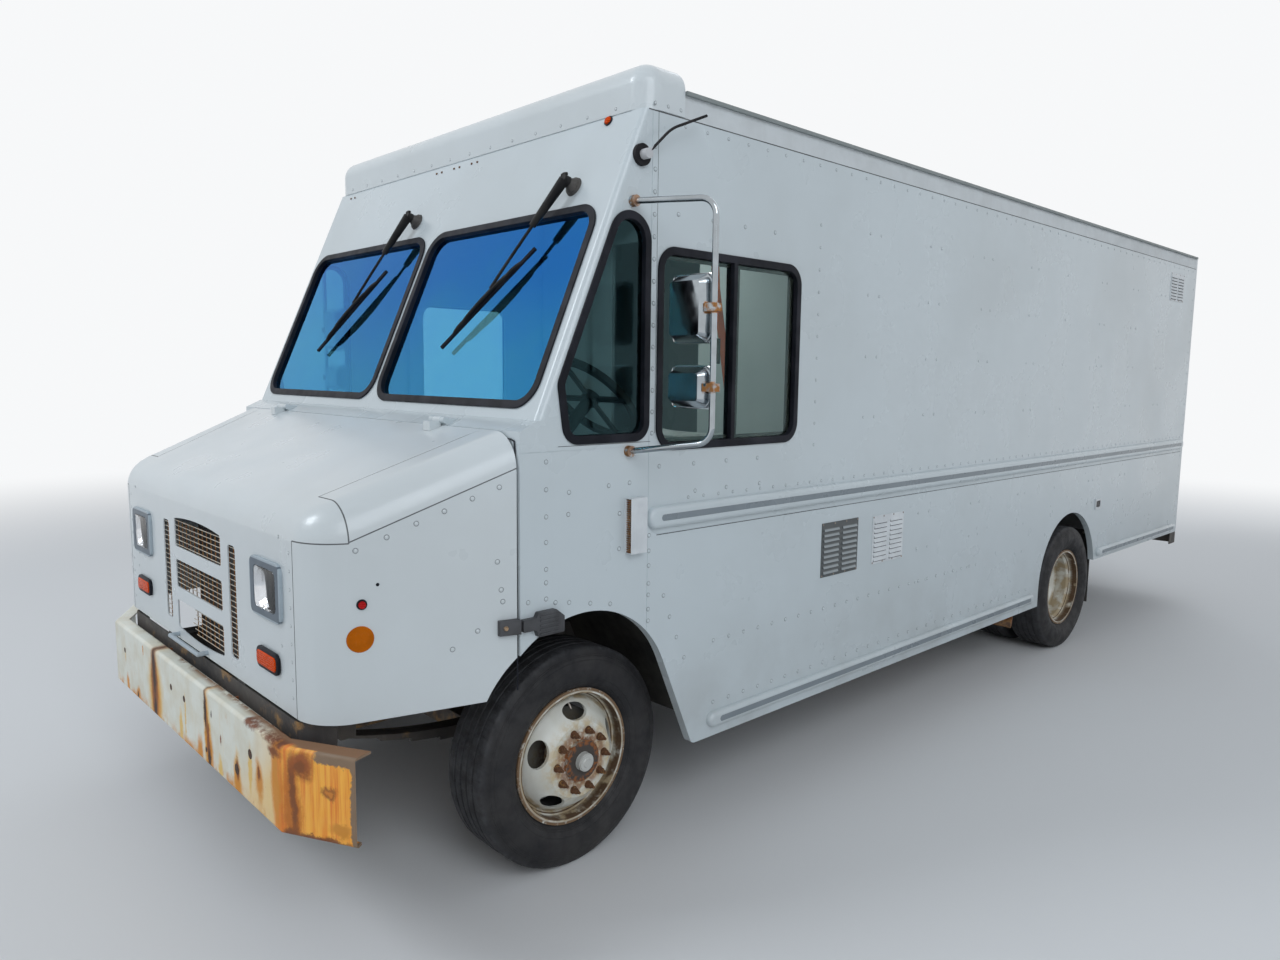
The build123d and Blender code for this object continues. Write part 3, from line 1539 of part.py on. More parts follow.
# Leaf springs: a bundle of bent leaves on each side of both axles
# station, seat height of the bundle, half length, rise at the ends
with BuildPart() as leaf_springs:
    for station, seat_z, half, rise in ((0, 378, 640, 90), (wheelbase, tyre_r + 66, 720, 70)):
        y = behind(station)
        for turned in (-1, 1):
            with BuildSketch(side(turned * spring_x - spring_w / 2)):
                for leaf, reach in enumerate((half, half * 0.8, half * 0.6, half * 0.4)):
                    low = seat_z + (3 - leaf) * 12
                    lift = rise * (reach / half) ** 2
                    top = low + 12
                    with BuildLine():
                        ThreePointArc((y - reach, low + lift), (y, low), (y + reach, low + lift))
                        Line((y + reach, low + lift), (y + reach, top + lift))
                        ThreePointArc((y + reach, top + lift), (y, top), (y - reach, top + lift))
                        Line((y - reach, top + lift), (y - reach, low + lift))
                    make_face()
            extrude(amount=spring_w)
            end_z = seat_z + 36 + rise
            for end in (-1, 1):
                ends = sorted((turned * rail_x, turned * (spring_x + spring_w / 2)))
                block(ends, (y + end * half - 30, y + end * half + 30), (end_z, rail_z + 120))
save(leaf_springs.part, "leaf_springs")

# Engine with its gearbox, as one plain mass, and what hangs near it
gearbox_back_y = behind(950)
nose_y = rear_axle_y - 260
with BuildPart() as engine:
    block((-280, 280), (behind(-640), behind(250)), (430, 1120))
    block((-170, 170), (behind(250), gearbox_back_y), (480, 740))
    mount = rail_x - rail_web - seat_gap
    block((-mount, mount), (behind(-300), behind(-200)), (rail_z + rail_web + seat_gap, 580))
save(engine.part, "engine")

with BuildPart() as radiator:
    block((-355, 355), radiator_y, (radiator_z, 1260))
save(radiator.part, "radiator")

shaft_start = (0, gearbox_back_y + 12, 560)
shaft_end = (0, nose_y - 12, tyre_r + 20)
with BuildPart() as driveshaft:
    with BuildLine() as shaft_line:
        Line(shaft_start, shaft_end)
    with BuildSketch(Plane(origin=shaft_start, z_dir=shaft_line.line % 0)):
        Circle(44)
    sweep(path=shaft_line.line)
    for y, z in ((gearbox_back_y + 24, shaft_start[2]), (nose_y - seat_gap, shaft_end[2])):
        with BuildSketch(across(y)):
            with Locations((0, z)):
                Circle(62)
        extrude(amount=24 - seat_gap)
save(driveshaft.part, "driveshaft")

with BuildPart() as fuel_tank:
    with BuildSketch(side(-rail_x - seat_gap)):
        with Locations((rear_axle_y - 1940, 545)):
            RectangleRounded(1200, 310, 70)
    extrude(amount=-380)
save(fuel_tank.part, "fuel_tank")

silencer_x = 560
silencer_z = 560
silencer_r = 110
silencer_back_y = rear_axle_y - 1190
silencer_length = 900
with BuildPart() as exhaust:
    with BuildSketch(across(silencer_back_y)):
        with Locations((silencer_x, silencer_z)):
            Circle(silencer_r)
    extrude(amount=silencer_length)
    for y in (silencer_back_y - silencer_length + 100, silencer_back_y - 100):
        bar_x(rail_x, silencer_x - 90, y, silencer_z, 20)
    with BuildLine() as tail:
        FilletPolyline(
            (silencer_x, silencer_back_y - 10, silencer_z),
            (silencer_x, silencer_back_y + 200, silencer_z),
            (silencer_x + 200, silencer_back_y + 340, 330),
            (body_half - 60, silencer_back_y + 460, 300),
            radius=110,
        )
    with BuildSketch(Plane(origin=tail.line @ 0, z_dir=tail.line % 0)):
        Circle(38)
    sweep(path=tail.line)
save(exhaust.part, "exhaust")

with BuildPart() as mudflaps:
    for turned in (-1, 1):
        ends = sorted((turned * (dual_x - dual_pitch - 89), turned * (body_half - 50)))
        block(ends, (rear_axle_y + 500, rear_axle_y + 508), (230, deck_low_z))
save(mudflaps.part, "mudflaps")
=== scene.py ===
import bmesh
import bpy
from math import cos, pi, radians, sin, sqrt
from mathutils import Matrix, Vector


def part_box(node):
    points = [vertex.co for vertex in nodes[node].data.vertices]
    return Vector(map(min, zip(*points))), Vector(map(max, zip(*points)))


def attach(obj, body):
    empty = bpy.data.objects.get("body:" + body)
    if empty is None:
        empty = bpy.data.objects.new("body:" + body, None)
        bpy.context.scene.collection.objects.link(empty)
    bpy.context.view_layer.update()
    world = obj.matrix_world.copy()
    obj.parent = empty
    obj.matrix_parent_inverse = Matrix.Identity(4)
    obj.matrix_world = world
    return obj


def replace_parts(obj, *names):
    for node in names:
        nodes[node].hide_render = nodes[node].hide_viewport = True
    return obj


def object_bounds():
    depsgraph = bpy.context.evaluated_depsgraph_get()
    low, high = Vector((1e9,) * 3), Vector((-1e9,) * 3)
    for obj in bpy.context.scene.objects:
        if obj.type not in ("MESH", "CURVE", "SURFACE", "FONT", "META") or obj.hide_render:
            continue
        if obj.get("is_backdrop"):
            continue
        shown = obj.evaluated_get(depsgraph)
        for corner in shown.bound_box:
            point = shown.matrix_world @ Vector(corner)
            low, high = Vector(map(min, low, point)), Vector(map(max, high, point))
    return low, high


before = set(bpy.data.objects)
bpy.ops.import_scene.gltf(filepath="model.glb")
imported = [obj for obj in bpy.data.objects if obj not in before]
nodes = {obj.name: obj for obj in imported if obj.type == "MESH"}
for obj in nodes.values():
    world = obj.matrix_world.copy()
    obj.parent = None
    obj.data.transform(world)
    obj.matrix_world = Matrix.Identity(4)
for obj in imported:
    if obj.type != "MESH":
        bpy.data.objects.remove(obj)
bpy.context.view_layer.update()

# Chassis frame: two pressed steel channels with cross members, and a splash apron across their
# front ends. It was dipped in black paint, which has gone dull, rusty at its edges and dusty.


def new_group(name, inputs, outputs):
    """An empty node group with its sockets, given as (name, kind, value)."""
    group = bpy.data.node_groups.new(name, "ShaderNodeTree")
    for socket, kind, value in inputs:
        item = group.interface.new_socket(socket, in_out="INPUT", socket_type=kind)
        item.default_value = value
    for socket, kind in outputs:
        group.interface.new_socket(socket, in_out="OUTPUT", socket_type=kind)
    return group, group.nodes.new("NodeGroupInput"), group.nodes.new("NodeGroupOutput")


def wire(tree, source, target):
    """Joins one node's socket to another's."""
    tree.links.new(source, target)


def node_of(tree, kind, values=(), **settings):
    """A node with its settings, and values for some of its sockets."""
    made = tree.nodes.new(kind)
    for name, value in settings.items():
        setattr(made, name, value)
    for socket, value in values:
        made.inputs[socket].default_value = value
    return made


def reckon(tree, operation, *values, clamp=False):
    """The result of a sum on numbers or sockets."""
    made = node_of(tree, "ShaderNodeMath", operation=operation, use_clamp=clamp)
    for index, value in enumerate(values):
        if isinstance(value, (int, float)):
            made.inputs[index].default_value = value
        else:
            wire(tree, value, made.inputs[index])
    return made.outputs["Value"]


def times(tree, first, second):
    """Two values multiplied, as a mask inside a mask."""
    return reckon(tree, "MULTIPLY", first, second)


def plus(tree, first, second):
    """Two masks added, held between 0 and 1."""
    return reckon(tree, "ADD", first, second, clamp=True)


def place_on_object(tree, scale=(1, 1, 1), shift=(0, 0, 0)):
    """Object coordinates moved by shift and stretched by scale, as a vector socket."""
    coord = node_of(tree, "ShaderNodeTexCoord")
    mapping = node_of(tree, "ShaderNodeMapping", [("Scale", scale), ("Location", shift)])
    wire(tree, coord.outputs["Object"], mapping.inputs["Vector"])
    return mapping.outputs["Vector"]


def along(tree, axis):
    """How far a point lies along X, Y or Z."""
    split = node_of(tree, "ShaderNodeSeparateXYZ")
    wire(tree, place_on_object(tree), split.inputs["Vector"])
    return split.outputs[axis]


def noise(tree, scale, detail=4, stretch=(1, 1, 1), rough=0.55):
    """Cloudy noise fixed to the piece."""
    made = node_of(tree, "ShaderNodeTexNoise", [("Scale", scale), ("Detail", detail), ("Roughness", rough)])
    wire(tree, place_on_object(tree, stretch), made.inputs["Vector"])
    return made.outputs["Fac"]


def ramp(tree, source, low, high, out_low=0.0, out_high=1.0):
    """A value between two limits, spread out to another range."""
    made = node_of(
        tree,
        "ShaderNodeMapRange",
        [("From Min", low), ("From Max", high), ("To Min", out_low), ("To Max", out_high)],
        interpolation_type="SMOOTHSTEP",
    )
    wire(tree, source, made.inputs["Value"])
    return made.outputs["Result"]


def near(tree, value, middle, half, soft):
    """1 within half of a middle value, falling to 0 over a soft edge."""
    distance = reckon(tree, "ABSOLUTE", reckon(tree, "SUBTRACT", value, middle))
    return ramp(tree, distance, half, half + soft, 1.0, 0.0)


def blend_colour(tree, mask, first, second):
    """The second colour laid over the first by a mask."""
    made = node_of(tree, "ShaderNodeMix", data_type="RGBA", blend_type="MIX")
    wire(tree, mask, made.inputs["Factor"])
    for socket, value in (("A", first), ("B", second)):
        slot = [s for s in made.inputs if s.name == socket and s.type == "RGBA"][0]
        if isinstance(value, (tuple, list)):
            slot.default_value = (*value[:3], 1)
        else:
            wire(tree, value, slot)
    return [s for s in made.outputs if s.type == "RGBA"][0]


# Dirt thrown up from the road: thickest near the ground, broken up by noise, with rain runs.
road_dirt, dirt_in, dirt_out = new_group(
    "Road dirt",
    [
        ("Colour", "NodeSocketColor", (0.8, 0.8, 0.8, 1)),
        ("Dirt colour", "NodeSocketColor", (0.17, 0.14, 0.11, 1)),
        ("Amount", "NodeSocketFloat", 0.5),
        ("Runs", "NodeSocketFloat", 0.2),
    ],
    [("Colour", "NodeSocketColor"), ("Mask", "NodeSocketFloat")],
)
near_ground = ramp(road_dirt, along(road_dirt, "Z"), 0.1, 1.0, 1.0, 0.0)
splash = ramp(road_dirt, noise(road_dirt, 3.2, 6), 0.38, 0.72)
run_noise = ramp(road_dirt, noise(road_dirt, 5.0, 5, (5.0, 5.0, 0.35), 0.65), 0.55, 0.78)
rain_runs = times(road_dirt, run_noise, dirt_in.outputs["Runs"])
film = times(road_dirt, ramp(road_dirt, noise(road_dirt, 1.1, 3), 0.35, 0.75), 0.12)
all_dirt = plus(road_dirt, plus(road_dirt, times(road_dirt, near_ground, splash), rain_runs), film)
dirt_mask = times(road_dirt, all_dirt, dirt_in.outputs["Amount"])
wire(road_dirt, dirt_mask, dirt_out.inputs["Mask"])
dirty = blend_colour(road_dirt, dirt_mask, dirt_in.outputs["Colour"], dirt_in.outputs["Dirt colour"])
wire(road_dirt, dirty, dirt_out.inputs["Colour"])

# Rust: patches that eat into the paint, with a thin yellow stain round an orange and brown heart.
rust_group, rust_in, rust_out = new_group(
    "Rust",
    [
        ("Colour", "NodeSocketColor", (0.8, 0.8, 0.8, 1)),
        ("Amount", "NodeSocketFloat", 0.3),
        ("Scale", "NodeSocketFloat", 6.0),
    ],
    [("Colour", "NodeSocketColor"), ("Mask", "NodeSocketFloat")],
)
patch = node_of(rust_group, "ShaderNodeTexNoise", [("Detail", 8), ("Roughness", 0.68)])
wire(rust_group, place_on_object(rust_group), patch.inputs["Vector"])
wire(rust_group, rust_in.outputs["Scale"], patch.inputs["Scale"])
eaten = reckon(rust_group, "ADD", patch.outputs["Fac"], rust_in.outputs["Amount"])
stained = blend_colour(
    rust_group,
    times(rust_group, ramp(rust_group, eaten, 0.78, 0.9), 0.55),
    rust_in.outputs["Colour"],
    (0.58, 0.32, 0.1),
)
speckle = ramp(rust_group, noise(rust_group, 42, 6), 0.32, 0.68)
bright_rust = blend_colour(rust_group, speckle, (0.42, 0.15, 0.035), (0.17, 0.055, 0.02))
dark_heart = ramp(rust_group, eaten, 0.96, 1.12)
deep_rust = blend_colour(rust_group, dark_heart, bright_rust, (0.05, 0.024, 0.014))
rust_mask = ramp(rust_group, eaten, 0.87, 0.94)
wire(rust_group, rust_mask, rust_out.inputs["Mask"])
wire(rust_group, blend_colour(rust_group, rust_mask, stained, deep_rust), rust_out.inputs["Colour"])

# Unevenness: broad waves of thin sheet, and the fine grain of paint or moulding on it.
uneven, uneven_in, uneven_out = new_group(
    "Unevenness",
    [
        ("Waves", "NodeSocketFloat", 0.02),
        ("Wave scale", "NodeSocketFloat", 1.5),
        ("Grain", "NodeSocketFloat", 0.02),
        ("Grain scale", "NodeSocketFloat", 300.0),
    ],
    [("Normal", "NodeSocketVector")],
)
wave = node_of(uneven, "ShaderNodeTexNoise", [("Detail", 2)])
grain = node_of(uneven, "ShaderNodeTexNoise", [("Detail", 3)])
for texture, scale in ((wave, "Wave scale"), (grain, "Grain scale")):
    wire(uneven, place_on_object(uneven), texture.inputs["Vector"])
    wire(uneven, uneven_in.outputs[scale], texture.inputs["Scale"])
wave_bump = node_of(uneven, "ShaderNodeBump", [("Distance", 0.05)])
grain_bump = node_of(uneven, "ShaderNodeBump", [("Distance", 0.001)])
wire(uneven, wave.outputs["Fac"], wave_bump.inputs["Height"])
wire(uneven, uneven_in.outputs["Waves"], wave_bump.inputs["Strength"])
wire(uneven, grain.outputs["Fac"], grain_bump.inputs["Height"])
wire(uneven, uneven_in.outputs["Grain"], grain_bump.inputs["Strength"])
wire(uneven, wave_bump.outputs["Normal"], grain_bump.inputs["Normal"])
wire(uneven, grain_bump.outputs["Normal"], uneven_out.inputs["Normal"])


def add_group(tree, group, values):
    """Places a node group, with each input set or wired."""
    made = tree.nodes.new("ShaderNodeGroup")
    made.node_tree = group
    for name, value in values.items():
        if isinstance(value, (int, float)):
            made.inputs[name].default_value = value
        elif isinstance(value, (tuple, list)):
            made.inputs[name].default_value = (*value[:3], 1)
        else:
            wire(tree, value, made.inputs[name])
    return made


def finish(
    name,
    colour,
    second,
    roughness=(0.4, 0.6),
    metal=0.0,
    coat=0.0,
    dirt=0.0,
    runs=0.2,
    dirt_colour=(0.17, 0.14, 0.11),
    rust=0.0,
    rust_scale=6.0,
    waves=0.0,
    wave_scale=1.5,
    grain=0.05,
    grain_scale=300.0,
    mottle_scale=8.0,
    shine=0.5,
):
    """A material for an opaque surface: two shades of its colour in a mottle, then rust,
    then dirt, with the roughness following all of them. Shine is how strongly it reflects."""
    material = bpy.data.materials.new(name)
    material.use_nodes = True
    tree = material.node_tree
    shader = tree.nodes["Principled BSDF"]
    shade = blend_colour(tree, ramp(tree, noise(tree, mottle_scale, 5), 0.35, 0.68), colour, second)
    rough = ramp(tree, noise(tree, mottle_scale * 2.3, 4), 0.3, 0.7, roughness[0], roughness[1])
    if rust:
        rusty = add_group(tree, rust_group, {"Colour": shade, "Amount": rust, "Scale": rust_scale})
        shade = rusty.outputs["Colour"]
        rough = plus(tree, rough, times(tree, rusty.outputs["Mask"], 0.4))
    if dirt:
        soiled = add_group(
            tree, road_dirt, {"Colour": shade, "Dirt colour": dirt_colour, "Amount": dirt, "Runs": runs}
        )
        shade = soiled.outputs["Colour"]
        rough = plus(tree, rough, times(tree, soiled.outputs["Mask"], 0.35))
    bumps = add_group(
        tree,
        uneven,
        {"Waves": waves, "Wave scale": wave_scale, "Grain": grain, "Grain scale": grain_scale},
    )
    wire(tree, shade, shader.inputs["Base Color"])
    wire(tree, rough, shader.inputs["Roughness"])
    wire(tree, bumps.outputs["Normal"], shader.inputs["Normal"])
    shader.inputs["Metallic"].default_value = metal
    shader.inputs["Specular IOR Level"].default_value = shine
    shader.inputs["Coat Weight"].default_value = coat
    shader.inputs["Coat Roughness"].default_value = 0.12
    return material


def under(material, socket):
    """What already feeds a socket of a material's shader."""
    return material.node_tree.nodes["Principled BSDF"].inputs[socket].links[0].from_socket


def lay_over(material, mask, colour, rougher=0.0):
    """Another colour laid over a finish by a mask, rougher or smoother than it."""
    tree = material.node_tree
    shader = tree.nodes["Principled BSDF"]
    wire(tree, blend_colour(tree, mask, under(material, "Base Color"), colour), shader.inputs["Base Color"])
    if rougher:
        rough = plus(tree, under(material, "Roughness"), times(tree, mask, rougher))
        wire(tree, rough, shader.inputs["Roughness"])


def dress(name, material, bevel=0.0, smooth=radians(32)):
    """Gives a solid of the frame its finish, with its edges softened where bevel is set."""
    node = nodes[name]
    mesh = node.data
    mesh.materials.clear()
    mesh.materials.append(material)
    if "custom_normal" in mesh.attributes:
        mesh.attributes.remove(mesh.attributes["custom_normal"])
    for face in mesh.polygons:
        face.use_smooth = True
    weld = node.modifiers.new("Weld", "WELD")
    weld.merge_threshold = 0.00002
    if bevel:
        edge = node.modifiers.new("Edges", "BEVEL")
        edge.width = bevel
        edge.segments = 2
        edge.limit_method = "ANGLE"
        edge.angle_limit = smooth
        edge.use_clamp_overlap = True
    split = node.modifiers.new("Sharp", "EDGE_SPLIT")
    split.split_angle = smooth
    if bevel:
        node.modifiers.new("Flat faces", "WEIGHTED_NORMAL")


chassis_paint = finish(
    "Chassis paint",
    (0.03, 0.03, 0.032),
    (0.06, 0.055, 0.05),
    roughness=(0.5, 0.75),
    rust=0.22,
    dirt=0.8,
    dirt_colour=(0.2, 0.17, 0.14),
    grain=0.3,
    grain_scale=140,
)
for name in ("frame_rails", "rear_step"):
    dress(name, chassis_paint, bevel=0.0015)

# Springs and axles: bundles of bent steel leaves held to forged and cast axles by U-bolts. The
# castings were never painted well; they are dark, rough and rusty. The track rod is bare steel.
front_axle_y = -2.8425
rear_axle_y = front_axle_y + 4.29
axle_z = 0.4225
spring_x = 0.48


def behind(station):
    """The Y of a place given as a distance behind the front axle."""
    return front_axle_y + station


def made_piece(name, shape, material, body, smooth=radians(35), turn_out=True):
    """Turns a bmesh into a finished piece that rides on a body."""
    bmesh.ops.remove_doubles(shape, verts=shape.verts, dist=1e-6)
    if turn_out:
        bmesh.ops.recalc_face_normals(shape, faces=shape.faces)
    mesh = bpy.data.meshes.new(name)
    shape.to_mesh(mesh)
    shape.free()
    mesh.materials.append(material)
    for face in mesh.polygons:
        face.use_smooth = True
    piece = bpy.data.objects.new(name, mesh)
    bpy.context.scene.collection.objects.link(piece)
    if smooth:
        split = piece.modifiers.new("Sharp", "EDGE_SPLIT")
        split.split_angle = smooth
    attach(piece, body)
    return piece


def rods(name, runs, radius, material, body, order=3, sides=2):
    """Bent round rods along rows of points, as one mesh with closed ends."""
    line = bpy.data.curves.new(name, "CURVE")
    line.dimensions = "3D"
    line.bevel_depth = radius
    line.bevel_resolution = sides
    line.use_fill_caps = True
    line.resolution_u = 6
    for run in runs:
        spline = line.splines.new("NURBS")
        spline.points.add(len(run) - 1)
        for point, place in zip(spline.points, run):
            point.co = (*place, 1)
        spline.order_u = order
        spline.use_endpoint_u = True
    guide = bpy.data.objects.new(name + "_line", line)
    shape = bmesh.new()
    shape.from_mesh(bpy.data.meshes.new_from_object(guide))
    bpy.data.objects.remove(guide)
    bpy.data.curves.remove(line)
    return made_piece(name, shape, material, body)


def round_bar(shape, start, end, radius, sides=24, radius_end=None):
    """Adds a closed round bar or cone between two points."""
    start, end = Vector(start), Vector(end)
    turned = (end - start).to_track_quat("Z", "Y").to_matrix().to_4x4()
    made = bmesh.ops.create_cone(
        shape,
        cap_ends=True,
        segments=sides,
        radius1=radius,
        radius2=radius if radius_end is None else radius_end,
        depth=(end - start).length,
        matrix=Matrix.Translation((start + end) / 2) @ turned,
    )
    return {face for vert in made["verts"] for face in vert.link_faces}


def block(shape, low, high, bevel=0.0, segments=2):
    """Adds a box between two corners, with its edges rounded over where bevel is set."""
    size = Vector(high) - Vector(low)
    middle = (Vector(high) + Vector(low)) / 2
    made = bmesh.ops.create_cube(
        shape, size=1, matrix=Matrix.Translation(middle) @ Matrix.Diagonal((*size, 1))
    )
    if bevel:
        edges = list({edge for vert in made["verts"] for edge in vert.link_edges})
        bmesh.ops.bevel(
            shape, geom=edges, offset=bevel, segments=segments, affect="EDGES", profile=0.5, material=-1
        )


cast_metal = finish(
    "Cast metal",
    (0.07, 0.065, 0.06),
    (0.12, 0.1, 0.085),
    roughness=(0.55, 0.8),
    metal=0.4,
    rust=0.28,
    dirt=0.7,
    dirt_colour=(0.2, 0.17, 0.14),
    grain=0.6,
    grain_scale=220,
)
dull_steel = finish(
    "Dull steel",
    (0.33, 0.3, 0.27),
    (0.24, 0.2, 0.17),
    roughness=(0.4, 0.6),
    metal=0.9,
    rust=0.25,
    rust_scale=14,
    grain=0.2,
)
dress("leaf_springs", chassis_paint)
for name in ("front_axle", "rear_axle", "knuckle_left", "knuckle_right"):
    dress(name, cast_metal, bevel=0.004)
dress("track_rod", dull_steel)

u_bolt_runs = []
spring_clips = bmesh.new()
for axle_place, low, high in ((front_axle_y, 0.285, 0.436), (rear_axle_y, 0.352, 0.548)):
    for turned in (-1, 1):
        x = turned * spring_x
        for reach in (-0.055, 0.055):
            y = axle_place + reach
            legs = (x - 0.047, x + 0.047)
            u_bolt_runs.append(
                [
                    (legs[0], y, low - 0.02),
                    (legs[0], y, high - 0.02),
                    (legs[0], y, high),
                    (legs[0] + 0.02, y, high + 0.004),
                    (legs[1] - 0.02, y, high + 0.004),
                    (legs[1], y, high),
                    (legs[1], y, high - 0.02),
                    (legs[1], y, low - 0.02),
                ]
            )
            for leg in legs:
                round_bar(spring_clips, (leg, y, low - 0.016), (leg, y, low), 0.013, 6)
        block(
            spring_clips,
            (x - 0.062, axle_place - 0.075, low),
            (x + 0.062, axle_place + 0.075, low + 0.01),
            0.002,
        )
rods("U-bolts", u_bolt_runs, 0.007, dull_steel, "truck")
made_piece("Spring_plates", spring_clips, chassis_paint, "truck")

# Drive line: an iron engine and gearbox behind a black radiator core, with a tube shaft back to
# the axle, a steel tank held by two straps, and a silencer brown with surface rust.
dress("engine", cast_metal, bevel=0.004)
for name in ("driveshaft", "fuel_tank"):
    dress(name, chassis_paint, bevel=0.002)
radiator_core = finish(
    "Radiator core", (0.035, 0.035, 0.036), (0.06, 0.055, 0.05), roughness=(0.5, 0.7), dirt=0.5, grain=0.1
)
core_tree = radiator_core.node_tree
fins = node_of(core_tree, "ShaderNodeTexWave", [("Scale", 55), ("Distortion", 0.4)], bands_direction="Z")
wire(core_tree, place_on_object(core_tree), fins.inputs["Vector"])
fin_bump = node_of(core_tree, "ShaderNodeBump", [("Distance", 0.004), ("Strength", 0.7)])
wire(core_tree, fins.outputs["Fac"], fin_bump.inputs["Height"])
wire(core_tree, under(radiator_core, "Normal"), fin_bump.inputs["Normal"])
wire(core_tree, fin_bump.outputs["Normal"], core_tree.nodes["Principled BSDF"].inputs["Normal"])
dress("radiator", radiator_core, bevel=0.002)
rusted_pipe = finish(
    "Rusted pipe",
    (0.2, 0.1, 0.055),
    (0.11, 0.055, 0.035),
    roughness=(0.65, 0.9),
    metal=0.3,
    rust=0.42,
    rust_scale=12,
    dirt=0.4,
    grain=0.6,
    grain_scale=180,
)
dress("exhaust", rusted_pipe)

tank_low, tank_high = (Vector(corner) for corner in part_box("fuel_tank"))
tank_straps = bmesh.new()
for share in (0.2, 0.8):
    y = tank_low.y + (tank_high.y - tank_low.y) * share
    block(
        tank_straps,
        (tank_low.x - 0.004, y - 0.025, tank_low.z + 0.06),
        (tank_low.x + 0.002, y + 0.025, tank_high.z - 0.06),
    )
    for z in (tank_low.z - 0.004, tank_high.z - 0.002):
        block(tank_straps, (tank_low.x + 0.06, y - 0.025, z), (tank_high.x - 0.06, y + 0.025, z + 0.006))
made_piece("Tank_straps", tank_straps, dull_steel, "truck")

# Wheels: pressed steel discs in white paint, with five hand holes and ten cone nuts. The nuts
# have rusted and stained the paint round them; the rims' edges have worn to rust and bare steel.
hub_face_x = 1.088
dual_face_x = 0.9285
dual_hub_x = 1.0285
nut_circle_r = 0.1125


def from_axle(tree, axle_y):
    """How far a point lies from the middle of an axle, seen from the side."""
    y = reckon(tree, "SUBTRACT", along(tree, "Y"), axle_y)
    z = reckon(tree, "SUBTRACT", along(tree, "Z"), axle_z)
    squares = reckon(tree, "ADD", times(tree, y, y), times(tree, z, z))
    return reckon(tree, "SQRT", squares)


def out_x_of(tree):
    """How far a place lies from the truck's middle, on either side."""
    return reckon(tree, "ABSOLUTE", along(tree, "X"))


def wheel_finish(name, axle_y, disc_x):
    """White wheel paint with rust about the hub, nuts and rim, and painted shade on all of it inboard of the
    disc.
    """
    material = finish(
        name,
        (0.72, 0.72, 0.66),
        (0.66, 0.65, 0.57),
        roughness=(0.35, 0.55),
        coat=0.1,
        rust=0.15,
        rust_scale=26,
        dirt=0.2,
        dirt_colour=(0.25, 0.2, 0.15),
        grain=0.15,
        mottle_scale=11,
    )
    tree = material.node_tree
    radius = from_axle(tree, axle_y)
    out_x = out_x_of(tree)
    stains = ramp(tree, noise(tree, 30, 6, rough=0.7), 0.36, 0.62)
    lay_over(
        material, times(tree, near(tree, radius, 0.112, 0.022, 0.045), times(tree, stains, 0.7)),
        (0.55, 0.4, 0.18)
    )
    halo = times(tree, near(tree, radius, 0.092, 0.012, 0.028), ramp(tree, noise(tree, 44, 6), 0.34, 0.56))
    lay_over(material, times(tree, halo, 0.75), (0.26, 0.1, 0.03), 0.3)
    lay_over(material, near(tree, radius, 0.05, 0.0255, 0.004), (0.045, 0.036, 0.03), 0.2)
    ring_rust = times(
        tree, near(tree, radius, 0.072, 0.008, 0.01), ramp(tree, noise(tree, 60, 6), 0.42, 0.58)
    )
    lay_over(material, ring_rust, (0.25, 0.09, 0.03), 0.3)
    lay_over(material, near(tree, radius, 0.0, 0.034, 0.002), (0.5, 0.5, 0.47))
    well = times(tree, near(tree, radius, 0.23, 0.014, 0.008), ramp(tree, noise(tree, 14, 6), 0.34, 0.58))
    lay_over(material, times(tree, well, 0.85), (0.36, 0.26, 0.13), 0.3)
    for ring_r, half in ((0.2315, 0.0012), (0.2405, 0.0016)):
        ring = times(tree, near(tree, radius, ring_r, half, 0.0015), ramp(tree, noise(tree, 20, 6), 0.3, 0.5))
        lay_over(material, ring, (0.09, 0.05, 0.025), 0.3)
    edge = times(
        tree, ramp(tree, radius, 0.246, 0.252),
        ramp(tree, noise(tree, 34, 7, rough=0.75), 0.3, 0.46)
    )
    lay_over(material, edge, (0.17, 0.1, 0.05), 0.3)
    # Painted shade: all of the wheel inboard of its disc, seen through the hand holes, is made near black.
    shade_behind_disc = ramp(tree, out_x, disc_x - 0.004, disc_x, 1.0, 0.0)
    lay_over(material, shade_behind_disc, (0.018, 0.017, 0.016), 0.3)
    return material


nut_rust = finish(
    "Rusty nuts",
    (0.16, 0.07, 0.03),
    (0.075, 0.035, 0.02),
    roughness=(0.7, 0.9),
    metal=0.2,
    rust=0.24,
    rust_scale=60,
    grain=0.7,
    grain_scale=240,
    mottle_scale=60,
)


def add_nut(shape, place, outward):
    """A flanged cone nut with the end of its stud."""
    x, y, z = place
    for start, end, radius, radius_end, sides in (
        (-0.001, 0.003, 0.0155, 0.0155, 12),
        (0.003, 0.017, 0.0135, 0.0125, 6),
        (0.017, 0.031, 0.0115, 0.0065, 10),
        (0.031, 0.038, 0.0055, 0.005, 8),
    ):
        first = (x + outward * start, y, z)
        last = (x + outward * end, y, z)
        round_bar(shape, first, last, radius, sides, radius_end)


